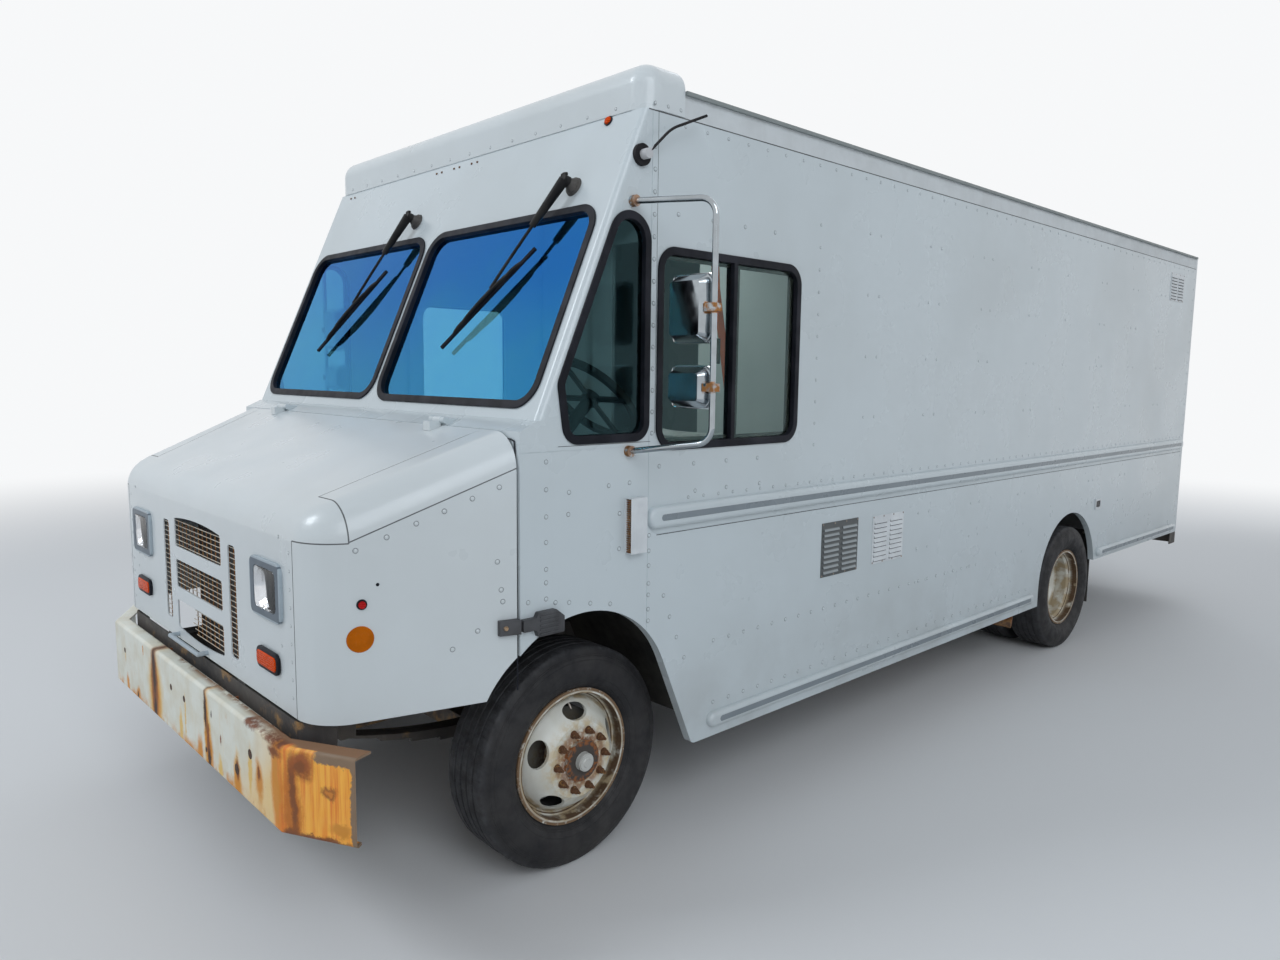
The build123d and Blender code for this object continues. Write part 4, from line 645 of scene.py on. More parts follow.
def opened_out(node_name, turned, face_x, axle_y):
    """The solid of a wheel with its hand holes opened out to ovals."""
    cutters = bmesh.new()
    for number in range(5):
        swung = Matrix.Rotation(pi / 2 + 2 * pi * number / 5, 4, "X")
        bmesh.ops.create_cone(
            cutters,
            cap_ends=True,
            segments=32,
            radius1=1,
            radius2=1,
            depth=0.112,
            matrix=Matrix.Translation((turned * (face_x - 0.046), axle_y, axle_z))
            @ swung
            @ Matrix.Translation((0, 0.178, 0))
            @ Matrix.Rotation(pi / 2, 4, "Y")
            @ Matrix.Diagonal((0.053, 0.0265, 1, 1)),
        )
    solids = []
    for label, shape in (("Wheel_start", bmesh.new()), ("Hand_holes", cutters)):
        if label == "Wheel_start":
            shape.from_mesh(nodes[node_name].data)
            bmesh.ops.remove_doubles(shape, verts=shape.verts, dist=2e-5)
        mesh = bpy.data.meshes.new(label)
        shape.to_mesh(mesh)
        shape.free()
        solid = bpy.data.objects.new(label, mesh)
        bpy.context.scene.collection.objects.link(solid)
        solids.append(solid)
    cut = solids[0].modifiers.new("Holes", "BOOLEAN")
    cut.operation = "DIFFERENCE"
    cut.solver = "EXACT"
    cut.object = solids[1]
    opened = bpy.data.meshes.new_from_object(solids[0].evaluated_get(bpy.context.evaluated_depsgraph_get()))
    for solid in solids:
        bpy.data.objects.remove(solid)
    result = bmesh.new()
    result.from_mesh(opened)
    return result


for axle_place, face_x, disc_x, places in (
    (front_axle_y, hub_face_x, 0.98, (("front_left", 1), ("front_right", -1))),
    (rear_axle_y, dual_face_x, 0.905, (("rear_left", 1), ("rear_right", -1))),
):
    paint = wheel_finish(f"Wheel paint {places[0][0][:-5]}", axle_place, disc_x)
    rear = axle_place == rear_axle_y
    for corner, turned in places:
        node = f"{corner}_wheels" if rear else f"{corner}_wheel"
        body = ("wheels_" if rear else "wheel_") + corner
        opened = opened_out(node, turned, face_x, axle_place)
        disc = made_piece(f"Wheel_disc_{corner}", opened, paint, body, smooth=radians(30))
        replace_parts(disc, node)
        nuts = bmesh.new()
        for number in range(10):
            angle = 2 * pi * (number + 0.5) / 10
            y = axle_place + nut_circle_r * sin(angle)
            z = axle_z + nut_circle_r * cos(angle)
            add_nut(nuts, (turned * face_x, y, z), turned)
        if rear:
            for number in range(8):
                angle = 2 * pi * number / 8
                y, z = axle_place + 0.062 * sin(angle), axle_z + 0.062 * cos(angle)
                round_bar(
                    nuts, (turned * (dual_hub_x - 0.001), y, z),
                    (turned * (dual_hub_x + 0.01), y, z), 0.009, 6
                )
        made_piece(f"Wheel_nuts_{corner}", nuts, nut_rust, body)
        hub = bmesh.new()
        x = turned * (dual_hub_x if rear else hub_face_x + 0.034)
        for reach, radius, radius_end in ((0.004, 0.031, 0.03), (0.008, 0.024, 0.015)):
            round_bar(
                hub, (x - turned * 0.001, axle_place, axle_z),
                (x + turned * reach, axle_place, axle_z), radius, 24, radius_end
            )
        made_piece(f"Hub_cap_{corner}", hub, paint, body)
        stem_x = turned * (0.985 if not rear else 1.03)
        rods(
            f"Valve_stem_{corner}",
            [[
                (stem_x - turned * 0.02, axle_place, axle_z + 0.222),
                (stem_x + turned * 0.01, axle_place, axle_z + 0.214),
                (stem_x + turned * 0.03, axle_place, axle_z + 0.2),
                (stem_x + turned * 0.045, axle_place, axle_z + 0.18),
            ]],
            0.004,
            dull_steel,
            body,
        )

# Tyres: black rubber on the rims, worn nearly smooth, with four grooves left round the tread,
# fine rings moulded on the sidewalls, and grey dust where they have scuffed the road.
bead_r = 0.2484
tyre_half_profile = (
    (0.0897, bead_r),
    (0.0897, 0.262),
    (0.1, 0.2695),
    (0.1125, 0.286),
    (0.1195, 0.305),
    (0.1235, 0.325),
    (0.1239, 0.34),
    (0.1225, 0.36),
    (0.118, 0.381),
    (0.1115, 0.397),
    (0.1055, 0.408),
    (0.101, 0.4165),
    (0.094, 0.4212),
    (0.061, 0.4222),
    (0.059, 0.4172),
    (0.052, 0.4172),
    (0.05, 0.4223),
    (0.023, 0.4225),
    (0.021, 0.4172),
    (0.014, 0.4172),
    (0.012, 0.4225),
)


def add_tyre(shape, x, axle_y, steps):
    """Turns the tyre's section about its axle."""
    profile = [(x + u, r) for u, r in tyre_half_profile]
    profile += [(x - u, r) for u, r in reversed(tyre_half_profile)]
    verts = [shape.verts.new((place, axle_y, axle_z + r)) for place, r in profile]
    edges = [shape.edges.new(pair) for pair in zip(verts, verts[1:] + verts[:1])]
    bmesh.ops.spin(
        shape, geom=verts + edges, cent=(0, axle_y, axle_z), axis=(1, 0, 0), angle=2 * pi,
        steps=steps, use_merge=True
    )


def tyre_finish(name, axle_y):
    """Black rubber, greyed and scuffed towards the tread."""
    material = finish(
        name,
        (0.011, 0.011, 0.013),
        (0.024, 0.023, 0.024),
        roughness=(0.55, 0.8),
        dirt=0.14,
        dirt_colour=(0.13, 0.12, 0.11),
        grain=0.35,
        grain_scale=240,
        mottle_scale=9,
        shine=0.35,
    )
    tree = material.node_tree
    radius = from_axle(tree, axle_y)
    scuffed = times(
        tree, ramp(tree, radius, 0.395, 0.42), ramp(tree, noise(tree, 22, 6, rough=0.7), 0.3, 0.7)
    )
    lay_over(material, times(tree, scuffed, 0.45), (0.085, 0.088, 0.095), 0.1)
    rings = near(tree, radius, 0.275, 0.0006, 0.001)
    for ring_r in (0.281, 0.302, 0.372, 0.386, 0.392):
        rings = plus(tree, rings, near(tree, radius, ring_r, 0.0006, 0.001))
    y = reckon(tree, "SUBTRACT", along(tree, "Y"), axle_y)
    z = reckon(tree, "SUBTRACT", along(tree, "Z"), axle_z)
    turn = reckon(tree, "FRACT", times(tree, reckon(tree, "ARCTAN2", y, z), 90 / (2 * pi)))
    cuts = times(tree, near(tree, turn, 0.5, 0.03, 0.04), ramp(tree, radius, 0.417, 0.42))
    relief = reckon(tree, "SUBTRACT", rings, cuts)
    bump = node_of(tree, "ShaderNodeBump", [("Distance", 0.002), ("Strength", 0.8)])
    wire(tree, relief, bump.inputs["Height"])
    wire(tree, under(material, "Normal"), bump.inputs["Normal"])
    wire(tree, bump.outputs["Normal"], tree.nodes["Principled BSDF"].inputs["Normal"])
    return material


for axle_place, planes, place in ((front_axle_y, (0.949,), "front"), (rear_axle_y, (1.058, 0.779), "rear")):
    rubber = tyre_finish(f"Tyre rubber {place}", axle_place)
    for hand, turned in (("left", 1), ("right", -1)):
        rings = bmesh.new()
        for x in planes:
            add_tyre(rings, turned * x, axle_place, 96)
        body = f"wheel_front_{hand}" if place == "front" else f"wheels_rear_{hand}"
        tyre = made_piece(
            f"Worn_tyres_{place}_{hand}", rings, rubber, body, smooth=radians(40)
        )
        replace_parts(tyre, f"front_{hand}_tyre" if place == "front" else f"rear_{hand}_tyres")

# Floor: a bare sheet deck on channel bearers with boxes over the rear wheels and a step well at
# the side door. The wheelhouses behind the arches are undersealed, and flaps hang by each wheel.
bare_sheet = finish(
    "Bare alloy sheet",
    (0.45, 0.46, 0.47),
    (0.36, 0.37, 0.38),
    roughness=(0.35, 0.55),
    metal=0.85,
    dirt=0.3,
    grain=0.2,
)
for name in ("floor", "wheel_boxes", "step_well"):
    dress(name, bare_sheet)
partition_paint = finish(
    "Partition paint",
    (0.6, 0.63, 0.62),
    (0.52, 0.55, 0.54),
    roughness=(0.4, 0.6),
    dirt=0.2,
    grain=0.1,
    mottle_scale=2,
)
dress("bulkhead", partition_paint)
underseal = finish(
    "Underseal",
    (0.018, 0.018, 0.018),
    (0.04, 0.038, 0.034),
    roughness=(0.7, 0.95),
    dirt=0.5,
    dirt_colour=(0.12, 0.115, 0.095),
    grain=0.8,
    grain_scale=120,
    shine=0.25,
)
dress("wheelhouses", underseal, bevel=0.002)
flap_rubber = finish(
    "Flap rubber",
    (0.02, 0.02, 0.021),
    (0.045, 0.042, 0.04),
    roughness=(0.55, 0.8),
    dirt=0.7,
    dirt_colour=(0.19, 0.165, 0.14),
    grain=0.3,
)
dress("mudflaps", flap_rubber)
flap_low, flap_high = (Vector(corner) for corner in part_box("mudflaps"))
flap_bolts = bmesh.new()
for turned in (-1, 1):
    for x in (0.74, 0.92, 1.09):
        start = (turned * x, flap_low.y - 0.006, flap_high.z - 0.03)
        round_bar(flap_bolts, start, (turned * x, flap_high.y + 0.006, flap_high.z - 0.03), 0.009, 6)
made_piece("Flap_bolts", flap_bolts, dull_steel, "truck")

# Side walls: large alloy sheets riveted to posts and painted white, a little wavy between the
# rivets, with pale grey runs of rain and a brown film low down. Each rivet has a domed head.
body_half = 1.19
body_back_y = front_axle_y + 6.6


def white_paint(name, first, second, **settings):
    """The body's white paint, in two close shades."""
    return finish(name, first, second, grain=0.03, grain_scale=420, **settings)


body_paint = white_paint(
    "White body paint",
    (0.57, 0.63, 0.655),
    (0.54, 0.595, 0.615),
    roughness=(0.24, 0.34),
    coat=0.2,
    dirt=0.3,
    runs=0.04,
    waves=0.05,
    wave_scale=1.3,
    mottle_scale=1.1,
)
for name in ("left_wall", "right_wall", "front_wall", "rear_frame", "cowl"):
    dress(name, body_paint)


# The dark ring round each rivet: grime, and painted shade where the head meets the sheet.
rivet_grime_and_shade = finish(
    "Rivet grime and painted shade", (0.2, 0.22, 0.23), (0.3, 0.32, 0.33), roughness=(0.5, 0.7), mottle_scale=30
)


def add_rivets(shape, places, outward, radius=0.0068):
    """Domed rivet heads at places on a surface that faces outward, each in a ring of grime and painted shade.
    """
    outward = Vector(outward).normalized()
    for place in places:
        foot = Vector(place) - outward * 0.0005
        shoulder = foot + outward * radius * 0.36
        round_bar(shape, foot, shoulder, radius, 8, radius * 0.82)
        round_bar(shape, shoulder, shoulder + outward * radius * 0.24, radius * 0.82, 8, radius * 0.35)
        for face in round_bar(shape, foot, foot + outward * 0.0008, radius * 1.22, 12):
            face.material_index = 1


def rivet_piece(name, heads, paint, body):
    """Rivet heads as one piece, with the dirt and painted shade round them as a second material."""
    made_piece(name, heads, paint, body).data.materials.append(rivet_grime_and_shade)


def steps(first, last, count):
    """Places at equal steps, with both ends."""
    return [first + (last - first) * number / (count - 1) for number in range(count)]


# Dark paint for seams and slots: dirt in the joints, and painted shadow under ledges and in openings.
seam_dirt_and_shade = finish(
    "Seam dirt and painted shade", (0.06, 0.065, 0.07), (0.13, 0.14, 0.145), roughness=(0.6, 0.8),
    mottle_scale=5
)

# Rivets as (distance behind the front axle, height)
cab_rivets = [(-0.24, z) for z in (1.562, 1.469, 1.377, 1.29, 1.198, 1.152, 1.096)]
cab_rivets += [(0.241, z) for z in (1.259, 1.2, 1.144, 1.076, 1.032, 0.977, 0.932)]
cab_rivets += [(-0.315, 1.096), (-0.2, 1.077), (-0.14, 1.067), (-0.044, 1.048), (0.05, 1.03)]
cab_rivets += [
    (-0.142, 1.452), (-0.145, 1.376), (0.039, 1.461), (0.139, 1.464), (0.092, 1.356), (0.091, 1.227)
]
cab_rivets += [(0.322, 1.016), (0.357, 0.927), (0.397, 0.838), (0.442, 0.747)]
cab_rivets += [(0.248, z) for z in steps(1.64, 2.66, 14)]
skirt_rivets = [(0.614 + 0.0955 * number, 0.782) for number in range(24)]
skirt_rivets += [(y, 0.52) for y in steps(0.62, 3.6, 32)]
window_rivets = [(y, 1.515) for y in (0.289, 0.477, 0.668, 0.865)]
window_rivets += [(y, 1.407) for y in (0.488, 0.672, 0.883)]
window_rivets += [(y, 2.44) for y in (0.37, 0.56, 0.75, 0.94)]
post_rivets = [(1.258, z) for z in steps(1.552, 2.508, 11)]
for pair in (
    (1.647, 1.74), (2.205, 2.314), (2.784, 2.89), (3.4, 3.5), (3.943,), (4.527, 4.613),
    (5.14, 5.24), (5.76, 5.86)
):
    for y in pair:
        post_rivets += [(y, z) for z in (2.515, 2.235, 1.95, 1.665)]
        if y > 2.1:
            post_rivets += [(y, z) for z in ((1.15, 0.99) if abs(y - 4.26) < 0.45 else (1.15, 0.96, 0.78))]
edge_rivets = [(y, 2.755) for y in steps(0.4, 6.5, 52)]
edge_rivets += [(y, 1.385) for y in steps(0.45, 6.5, 70)]
edge_rivets += [(6.545, z) for z in steps(0.7, 2.7, 24)]
for hand, turned in (("left", 1), ("right", -1)):
    heads = bmesh.new()
    rows = cab_rivets + skirt_rivets + post_rivets + edge_rivets
    if hand == "left":
        rows = rows + window_rivets
    else:
        rows = [(y, z) for y, z in rows if not (0.5 < y < 2.05 and z < 2.4) and y != 0.248]
    for y, z in rows:
        radius = 0.0055 if (y, z) in post_rivets or (y, z) in edge_rivets else 0.0072
        add_rivets(heads, [(turned * body_half, behind(y), z)], (turned, 0, 0), radius)
    rivet_piece(f"Wall_rivets_{hand}", heads, body_paint, "truck")
    # Dark lines below the rub rail, under the roof's side flange and along the cab's seams: seam dirt, with
    # painted shadow under the rail and the flange.
    seams = bmesh.new()
    wall_xs = sorted((turned * (body_half - 0.001), turned * (body_half + 0.0006)))
    for first, last, low, high in (
        (0.28 if turned > 0 else 1.32, 6.55, 1.2545, 1.2575),
        (0.215, 6.57, 2.7805, 2.7845),
        (-0.19, 0.24, 1.609, 1.611),
        (0.262, 0.2635, 1.64, 2.78),
    ):
        block(seams, (wall_xs[0], behind(first), low), (wall_xs[1], behind(last), high))
    made_piece(f"Wall_seams_{hand}", seams, seam_dirt_and_shade, "truck")

# Cab front: a leaning windshield wall and cowl of the same painted sheet. A row of roof lamps was
# taken off it: four pairs of rusty screws are left, and one amber marker lamp at the left end.
cowl_y = behind(-0.347)
screen_slope = 0.4324
screen_out = Vector((0, -1, screen_slope)).normalized()
screen_up = Vector((0, screen_slope, 1)).normalized()


def on_screen(x, height, out=0.0, up=0.0):
    """A place on the windshield wall at a height, moved out of it or up along it."""
    foot = Vector((x, behind(-0.274 + (height - 1.7) * screen_slope), height))
    return foot + screen_out * out + screen_up * up


seal_rubber = finish(
    "Seal rubber",
    (0.008, 0.009, 0.013),
    (0.02, 0.021, 0.028),
    roughness=(0.4, 0.55),
    grain=0.2,
    grain_scale=500,
    shine=0.12,
)
screws = bmesh.new()
for x in (-1.022, -0.158, -0.01, 0.132):
    for reach in (-0.022, 0.022):
        foot = on_screen(x + reach, 2.757)
        round_bar(screws, foot - screen_out * 0.001, foot + screen_out * 0.004, 0.006, 10, 0.004)
made_piece("Lamp_screws", screws, nut_rust, "truck")


def lens_finish(name, colour, ribs, direction):
    """A moulded lamp lens, coloured right through, with ribs pressed across it."""
    material = bpy.data.materials.new(name)
    material.use_nodes = True
    tree = material.node_tree
    shader = tree.nodes["Principled BSDF"]
    clouded = blend_colour(
        tree, ramp(tree, noise(tree, 25, 3), 0.35, 0.7), colour, tuple(c * 0.85 for c in colour)
    )
    wire(tree, clouded, shader.inputs["Base Color"])
    wire(tree, ramp(tree, noise(tree, 90, 4), 0.3, 0.7, 0.18, 0.3), shader.inputs["Roughness"])
    shader.inputs["Specular IOR Level"].default_value = 0.06
    ridges = node_of(tree, "ShaderNodeTexWave", [("Scale", ribs)], bands_direction=direction)
    wire(tree, place_on_object(tree), ridges.inputs["Vector"])
    bump = node_of(tree, "ShaderNodeBump", [("Distance", 0.003), ("Strength", 0.6)])
    wire(tree, ridges.outputs["Fac"], bump.inputs["Height"])
    wire(tree, bump.outputs["Normal"], shader.inputs["Normal"])
    return material


amber_lens = lens_finish("Amber lens", (0.72, 0.068, 0.002), 45, "Z")
red_lens = lens_finish("Red lens", (0.5, 0.012, 0.012), 45, "Z")
marker = bmesh.new()
foot = on_screen(1.006, 2.768)
round_bar(marker, foot - screen_out * 0.001, foot + screen_out * 0.005, 0.019, 20)
made_piece("Marker_lamp_base", marker, seal_rubber, "truck")
marker = bmesh.new()
round_bar(marker, foot + screen_out * 0.004, foot + screen_out * 0.01, 0.015, 20, 0.014)
round_bar(marker, foot + screen_out * 0.01, foot + screen_out * 0.014, 0.014, 20, 0.008)
made_piece("Marker_lamp_lens", marker, amber_lens, "truck")

cowl_seal_x = body_half - 0.012
rods(
    "Hood_seal",
    [[
        (-cowl_seal_x, cowl_y - 0.0032, 0.8),
        (-cowl_seal_x, cowl_y - 0.0032, 1.62),
        (-cowl_seal_x + 0.03, cowl_y - 0.0032, 1.652),
        (cowl_seal_x - 0.03, cowl_y - 0.0032, 1.652),
        (cowl_seal_x, cowl_y - 0.0032, 1.62),
        (cowl_seal_x, cowl_y - 0.0032, 0.8),
    ]],
    0.0026,
    seal_rubber,
    "truck",
)

# Roof: one skin of alloy sheet riveted over bows, with a gutter along each side, and a moulded
# cap bonded over its front end. Water leaves grey runs on the skin; the cap has gone chalky.
roof_paint = white_paint(
    "Roof paint",
    (0.62, 0.655, 0.67),
    (0.57, 0.6, 0.61),
    roughness=(0.36, 0.52),
    dirt=0.25,
    runs=0.2,
    waves=0.05,
)
shell_coat = finish(
    "White shell coat",
    (0.63, 0.675, 0.69),
    (0.6, 0.64, 0.65),
    roughness=(0.26, 0.38),
    coat=0.2,
    dirt=0.2,
    runs=0.03,
    waves=0.03,
    grain=0.05,
    mottle_scale=1.5,
)
dress("roof", roof_paint)
dress("roof_cap", shell_coat, bevel=0.002)
roof_tree = roof_paint.node_tree
gutter_x = ramp(
    roof_tree, reckon(roof_tree, "ABSOLUTE", along(roof_tree, "X")), body_half + 0.0005,
    body_half + 0.002
)
lay_over(roof_paint, times(roof_tree, gutter_x, 0.85), (0.16, 0.185, 0.18), 0.1)

roof_r = (body_half**2 + 0.06**2) / (2 * 0.06)
roof_heads = bmesh.new()
for station in steps(0.5, 6.5, 13):
    for x in steps(-1.12, 1.12, 17):
        place = (x, behind(station), 2.93 - x * x / (2 * roof_r))
        add_rivets(roof_heads, [place], (x / roof_r, 0, 1), 0.0055)
rivet_piece("Roof_rivets", roof_heads, roof_paint, "truck")
cap_heads = bmesh.new()
for turned in (-1, 1):
    for station in steps(0.24, 0.37, 3):
        add_rivets(cap_heads, [(turned * 1.194, behind(station), 2.806)], (turned, 0, 0), 0.0055)
for x in steps(-1.04, 1.04, 14):
    foot = on_screen(x, 2.785) + Vector((0, -0.004, 0.02))
    add_rivets(cap_heads, [foot], (0, -1, 0), 0.0055)
rivet_piece("Cap_rivets", cap_heads, shell_coat, "truck")

# Cab furniture: a grey moulded dashboard and engine cover, a black hand wheel on its column,
# and a driver's seat on a steel post, its two pads foam under grey vinyl sewn in channels.
cab_plastic = finish(
    "Cab plastic",
    (0.15, 0.16, 0.165),
    (0.12, 0.125, 0.13),
    roughness=(0.5, 0.7),
    dirt=0.3,
    grain=0.5,
    grain_scale=700,
)
black_trim = finish(
    "Black trim",
    (0.02, 0.02, 0.022),
    (0.045, 0.043, 0.04),
    roughness=(0.4, 0.6),
    grain=0.3,
)
for name in ("dashboard", "engine_cover"):
    dress(name, cab_plastic, bevel=0.006)
for name in ("steering_column", "steering_wheel"):
    dress(name, black_trim, bevel=0.004)
dress("seat_base", chassis_paint, bevel=0.002)

pod = bmesh.new()
block(pod, (0.38, behind(-0.03), 1.495), (0.72, behind(0.07), 1.625), 0.02, 4)
made_piece("Gauge_pod", pod, cab_plastic, "truck")
gauge_faces = bmesh.new()
gauge_rims = bmesh.new()
for x, radius in ((0.43, 0.03), (0.51, 0.042), (0.6, 0.042), (0.68, 0.03)):
    y = behind(0.07)
    round_bar(gauge_faces, (x, y - 0.002, 1.56), (x, y + 0.002, 1.56), radius * 0.9, 32)
    ring = bmesh.ops.create_circle(
        gauge_rims, segments=10, radius=0.003, matrix=Matrix.Translation((x + radius, y + 0.002, 1.56))
    )
    ring_edges = list({edge for vert in ring["verts"] for edge in vert.link_edges})
    bmesh.ops.spin(
        gauge_rims,
        geom=ring["verts"] + ring_edges,
        cent=(x, y, 1.56),
        axis=(0, 1, 0),
        angle=2 * pi,
        steps=32,
        use_merge=True,
    )
gauge_paint = finish("Gauge faces", (0.012, 0.012, 0.012), (0.02, 0.02, 0.02), roughness=(0.3, 0.4))
made_piece("Gauge_faces", gauge_faces, gauge_paint, "truck")
bright_metal = finish(
    "Bright plated metal",
    (0.78, 0.78, 0.79),
    (0.62, 0.62, 0.62),
    roughness=(0.06, 0.18),
    metal=1.0,
    grain=0.02,
    waves=0.03,
    wave_scale=9,
)
made_piece("Gauge_rims", gauge_rims, bright_metal, "truck")

seat_cover = finish(
    "Cushion cover",
    (0.5, 0.5, 0.49),
    (0.4, 0.4, 0.39),
    roughness=(0.42, 0.6),
    dirt=0.2,
    grain=0.6,
    grain_scale=650,
    mottle_scale=5,
)


def swollen(shape, low, high):
    """The pad's cover blown up by its filling, kept inside the space the pad has."""
    mesh = bpy.data.meshes.new("Pad_start")
    shape.to_mesh(mesh)
    shape.free()
    pad = bpy.data.objects.new("Pad_start", mesh)
    bpy.context.scene.collection.objects.link(pad)
    remesh = pad.modifiers.new("Even", "REMESH")
    remesh.mode = "VOXEL"
    remesh.voxel_size = 0.006
    even = bpy.data.meshes.new_from_object(pad.evaluated_get(bpy.context.evaluated_depsgraph_get()))
    pad.modifiers.clear()
    pad.data = even
    before = [vert.co.copy() for vert in even.vertices]
    cloth = pad.modifiers.new("Cover", "CLOTH")
    cloth.settings.use_pressure = True
    cloth.settings.uniform_pressure_force = 4
    cloth.settings.effector_weights.gravity = 0
    for number in range(1, 21):
        bpy.context.scene.frame_set(number)
    blown = bpy.data.meshes.new_from_object(pad.evaluated_get(bpy.context.evaluated_depsgraph_get()))
    bpy.context.scene.frame_set(1)
    for vert, old in zip(blown.vertices, before):
        move = vert.co - old
        if move.length > 0.014:
            move *= 0.014 / move.length
        place = old + move
        vert.co = [min(max(value, least), most) for value, least, most in zip(place, low, high)]
    bpy.data.objects.remove(pad)
    result = bmesh.new()
    result.from_mesh(blown)
    return result


for name, low, high, across_axis, crown_axis, top in (
    ("Lower_pad", (0.3, behind(0.66), 1.1905), (0.8, behind(1.07), 1.3), 0, 2, 1),
    ("Back_pad", (0.31, behind(1.092), 1.302), (0.79, behind(1.18), 1.6), 0, 1, -1),
):
    start = bmesh.new()
    inner_low = [value + 0.008 for value in low]
    inner_high = [value - 0.008 for value in high]
    block(start, inner_low, inner_high, 0.028, 4)
    start = swollen(start, low, high)
    middle = (low[crown_axis] + high[crown_axis]) / 2
    for vert in start.verts:
        if (vert.co[crown_axis] - middle) * top > 0:
            for groove in (-0.085, 0.085):
                gap = abs(vert.co[across_axis] - 0.55 - groove)
                vert.co[crown_axis] -= top * 0.007 * max(0.0, 1 - gap / 0.012)
    pad = made_piece(name, start, seat_cover, "truck", smooth=0)
    finer = pad.modifiers.new("Finer", "SUBSURF")
    finer.levels = finer.render_levels = 1
    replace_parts(pad, "seat_cushions")
rods(
    "Pad_piping",
    [
        [
            (0.33, behind(0.675), 1.29),
            (0.32, behind(0.69), 1.29),
            (0.315, behind(1.05), 1.288),
        ],
        [
            (0.77, behind(0.675), 1.29),
            (0.78, behind(0.69), 1.29),
            (0.785, behind(1.05), 1.288),
        ],
    ],
    0.004,
    seat_cover,
    "truck",
)

# The lap and shoulder belt is orange webbing. It hangs from a steel anchor on the side wall and
# runs down behind the seat to its buckle; the jump seat's folded back stands by the door.
webbing = finish(
    "Orange webbing",
    (0.75, 0.13, 0.03),
    (0.6, 0.1, 0.025),
    roughness=(0.7, 0.85),
    grain=0.8,
    grain_scale=900,
)
belt = bmesh.new()
belt_places = (
    (1.135, 0.63, 2.36),
    (1.12, 0.66, 2.2),
    (1.1, 0.728, 1.994),
    (1.1, 0.773, 1.774),
    (1.07, 0.84, 1.6),
    (1.02, 0.89, 1.42),
    (0.95, 0.94, 1.26),
    (0.88, 0.96, 1.14),
    (0.86, 0.97, 1.08),
)
edges = []
for x, station, z in belt_places:
    edges.append([belt.verts.new((x, behind(station + reach), z)) for reach in (-0.024, 0.024)])
for first, last in zip(edges, edges[1:]):
    belt.faces.new((first[0], first[1], last[1], last[0]))
bmesh.ops.solidify(belt, geom=belt.faces[:], thickness=0.0015)
made_piece("Shoulder_belt", belt, webbing, "truck")
anchors = bmesh.new()
block(anchors, (1.12, behind(0.6), 2.34), (1.152, behind(0.66), 2.4), 0.006)
block(anchors, (0.84, behind(0.94), 0.8), (0.88, behind(1.0), 1.1), 0.006)
made_piece("Belt_anchors", anchors, black_trim, "truck")

# Windows: sheet glass held in black rubber seals that lock with a filler strip. The windshield has a blue
# cast and the cab's side windows are green, and their specular tints carry a painted sky reflection; the
# doors have plain clear panes.


def pane_glass(name, colour):
    """Clear sheet glass with a tint."""
    material = bpy.data.materials.new(name)
    material.use_nodes = True
    pane = material.node_tree.nodes["Principled BSDF"]
    pane.inputs["Base Color"].default_value = (*colour, 1)
    pane.inputs["Roughness"].default_value = 0.0
    pane.inputs["IOR"].default_value = 1.45
    pane.inputs["Transmission Weight"].default_value = 1.0
    return material


def film_on(material, amount):
    """Dust dried on glass: its roughness rises a little in drifts and runs."""
    tree = material.node_tree
    drifts = ramp(tree, noise(tree, 4, 6, (1, 1, 0.5), 0.7), 0.5, 0.8)
    wire(tree, ramp(tree, drifts, 0.0, 1.0, 0.0, amount), tree.nodes["Principled BSDF"].inputs["Roughness"])


cab_glass = pane_glass("Cab glass", (0.3, 0.45, 0.42))
glass_tree = cab_glass.node_tree
leaning = reckon(
    glass_tree, "SUBTRACT", along(glass_tree, "Y"), times(glass_tree, along(glass_tree, "Z"), screen_slope)
)
screen_foot = behind(-0.274) - 1.7 * screen_slope
on_windshield = near(glass_tree, leaning, screen_foot + 0.015, 0.03, 0.005)
glass_shader = glass_tree.nodes["Principled BSDF"]
on_quarter = ramp(glass_tree, along(glass_tree, "Y"), behind(0.245), behind(0.26), 1.0, 0.0)
side_tint = blend_colour(glass_tree, on_quarter, (0.72, 0.82, 0.76), (0.22, 0.36, 0.38))
tint = blend_colour(glass_tree, on_windshield, side_tint, (0.12, 0.36, 0.62))
# Painted sky reflection: the windshield's specular tint runs from light blue low down to deep blue at the
# top, clouded by noise; the side windows get a teal one.
from_top = ramp(glass_tree, along(glass_tree, "Z"), 1.75, 2.45)
sky_height = plus(glass_tree, from_top, ramp(glass_tree, noise(glass_tree, 2.2, 5), 0.3, 0.7, -0.25, 0.25))
band = blend_colour(glass_tree, sky_height, (0.04, 0.46, 0.9), (0.01, 0.3, 1.0))
painted_reflection_tint = blend_colour(glass_tree, on_windshield, (0.1, 0.34, 0.4), band)
wire(glass_tree, tint, glass_shader.inputs["Base Color"])
wire(glass_tree, painted_reflection_tint, glass_shader.inputs["Specular Tint"])
wire(glass_tree, ramp(glass_tree, on_windshield, 0.0, 1.0, 1.45, 3.4), glass_shader.inputs["IOR"])
film_on(cab_glass, 0.05)
door_glass = pane_glass("Door glass", (0.6, 0.72, 0.7))
film_on(door_glass, 0.08)
dress("cab_glass", cab_glass)
for name in ("side_door_glass", "rear_glass_left", "rear_glass_right"):
    dress(name, door_glass)
dress("window_seals", seal_rubber, bevel=0.003)

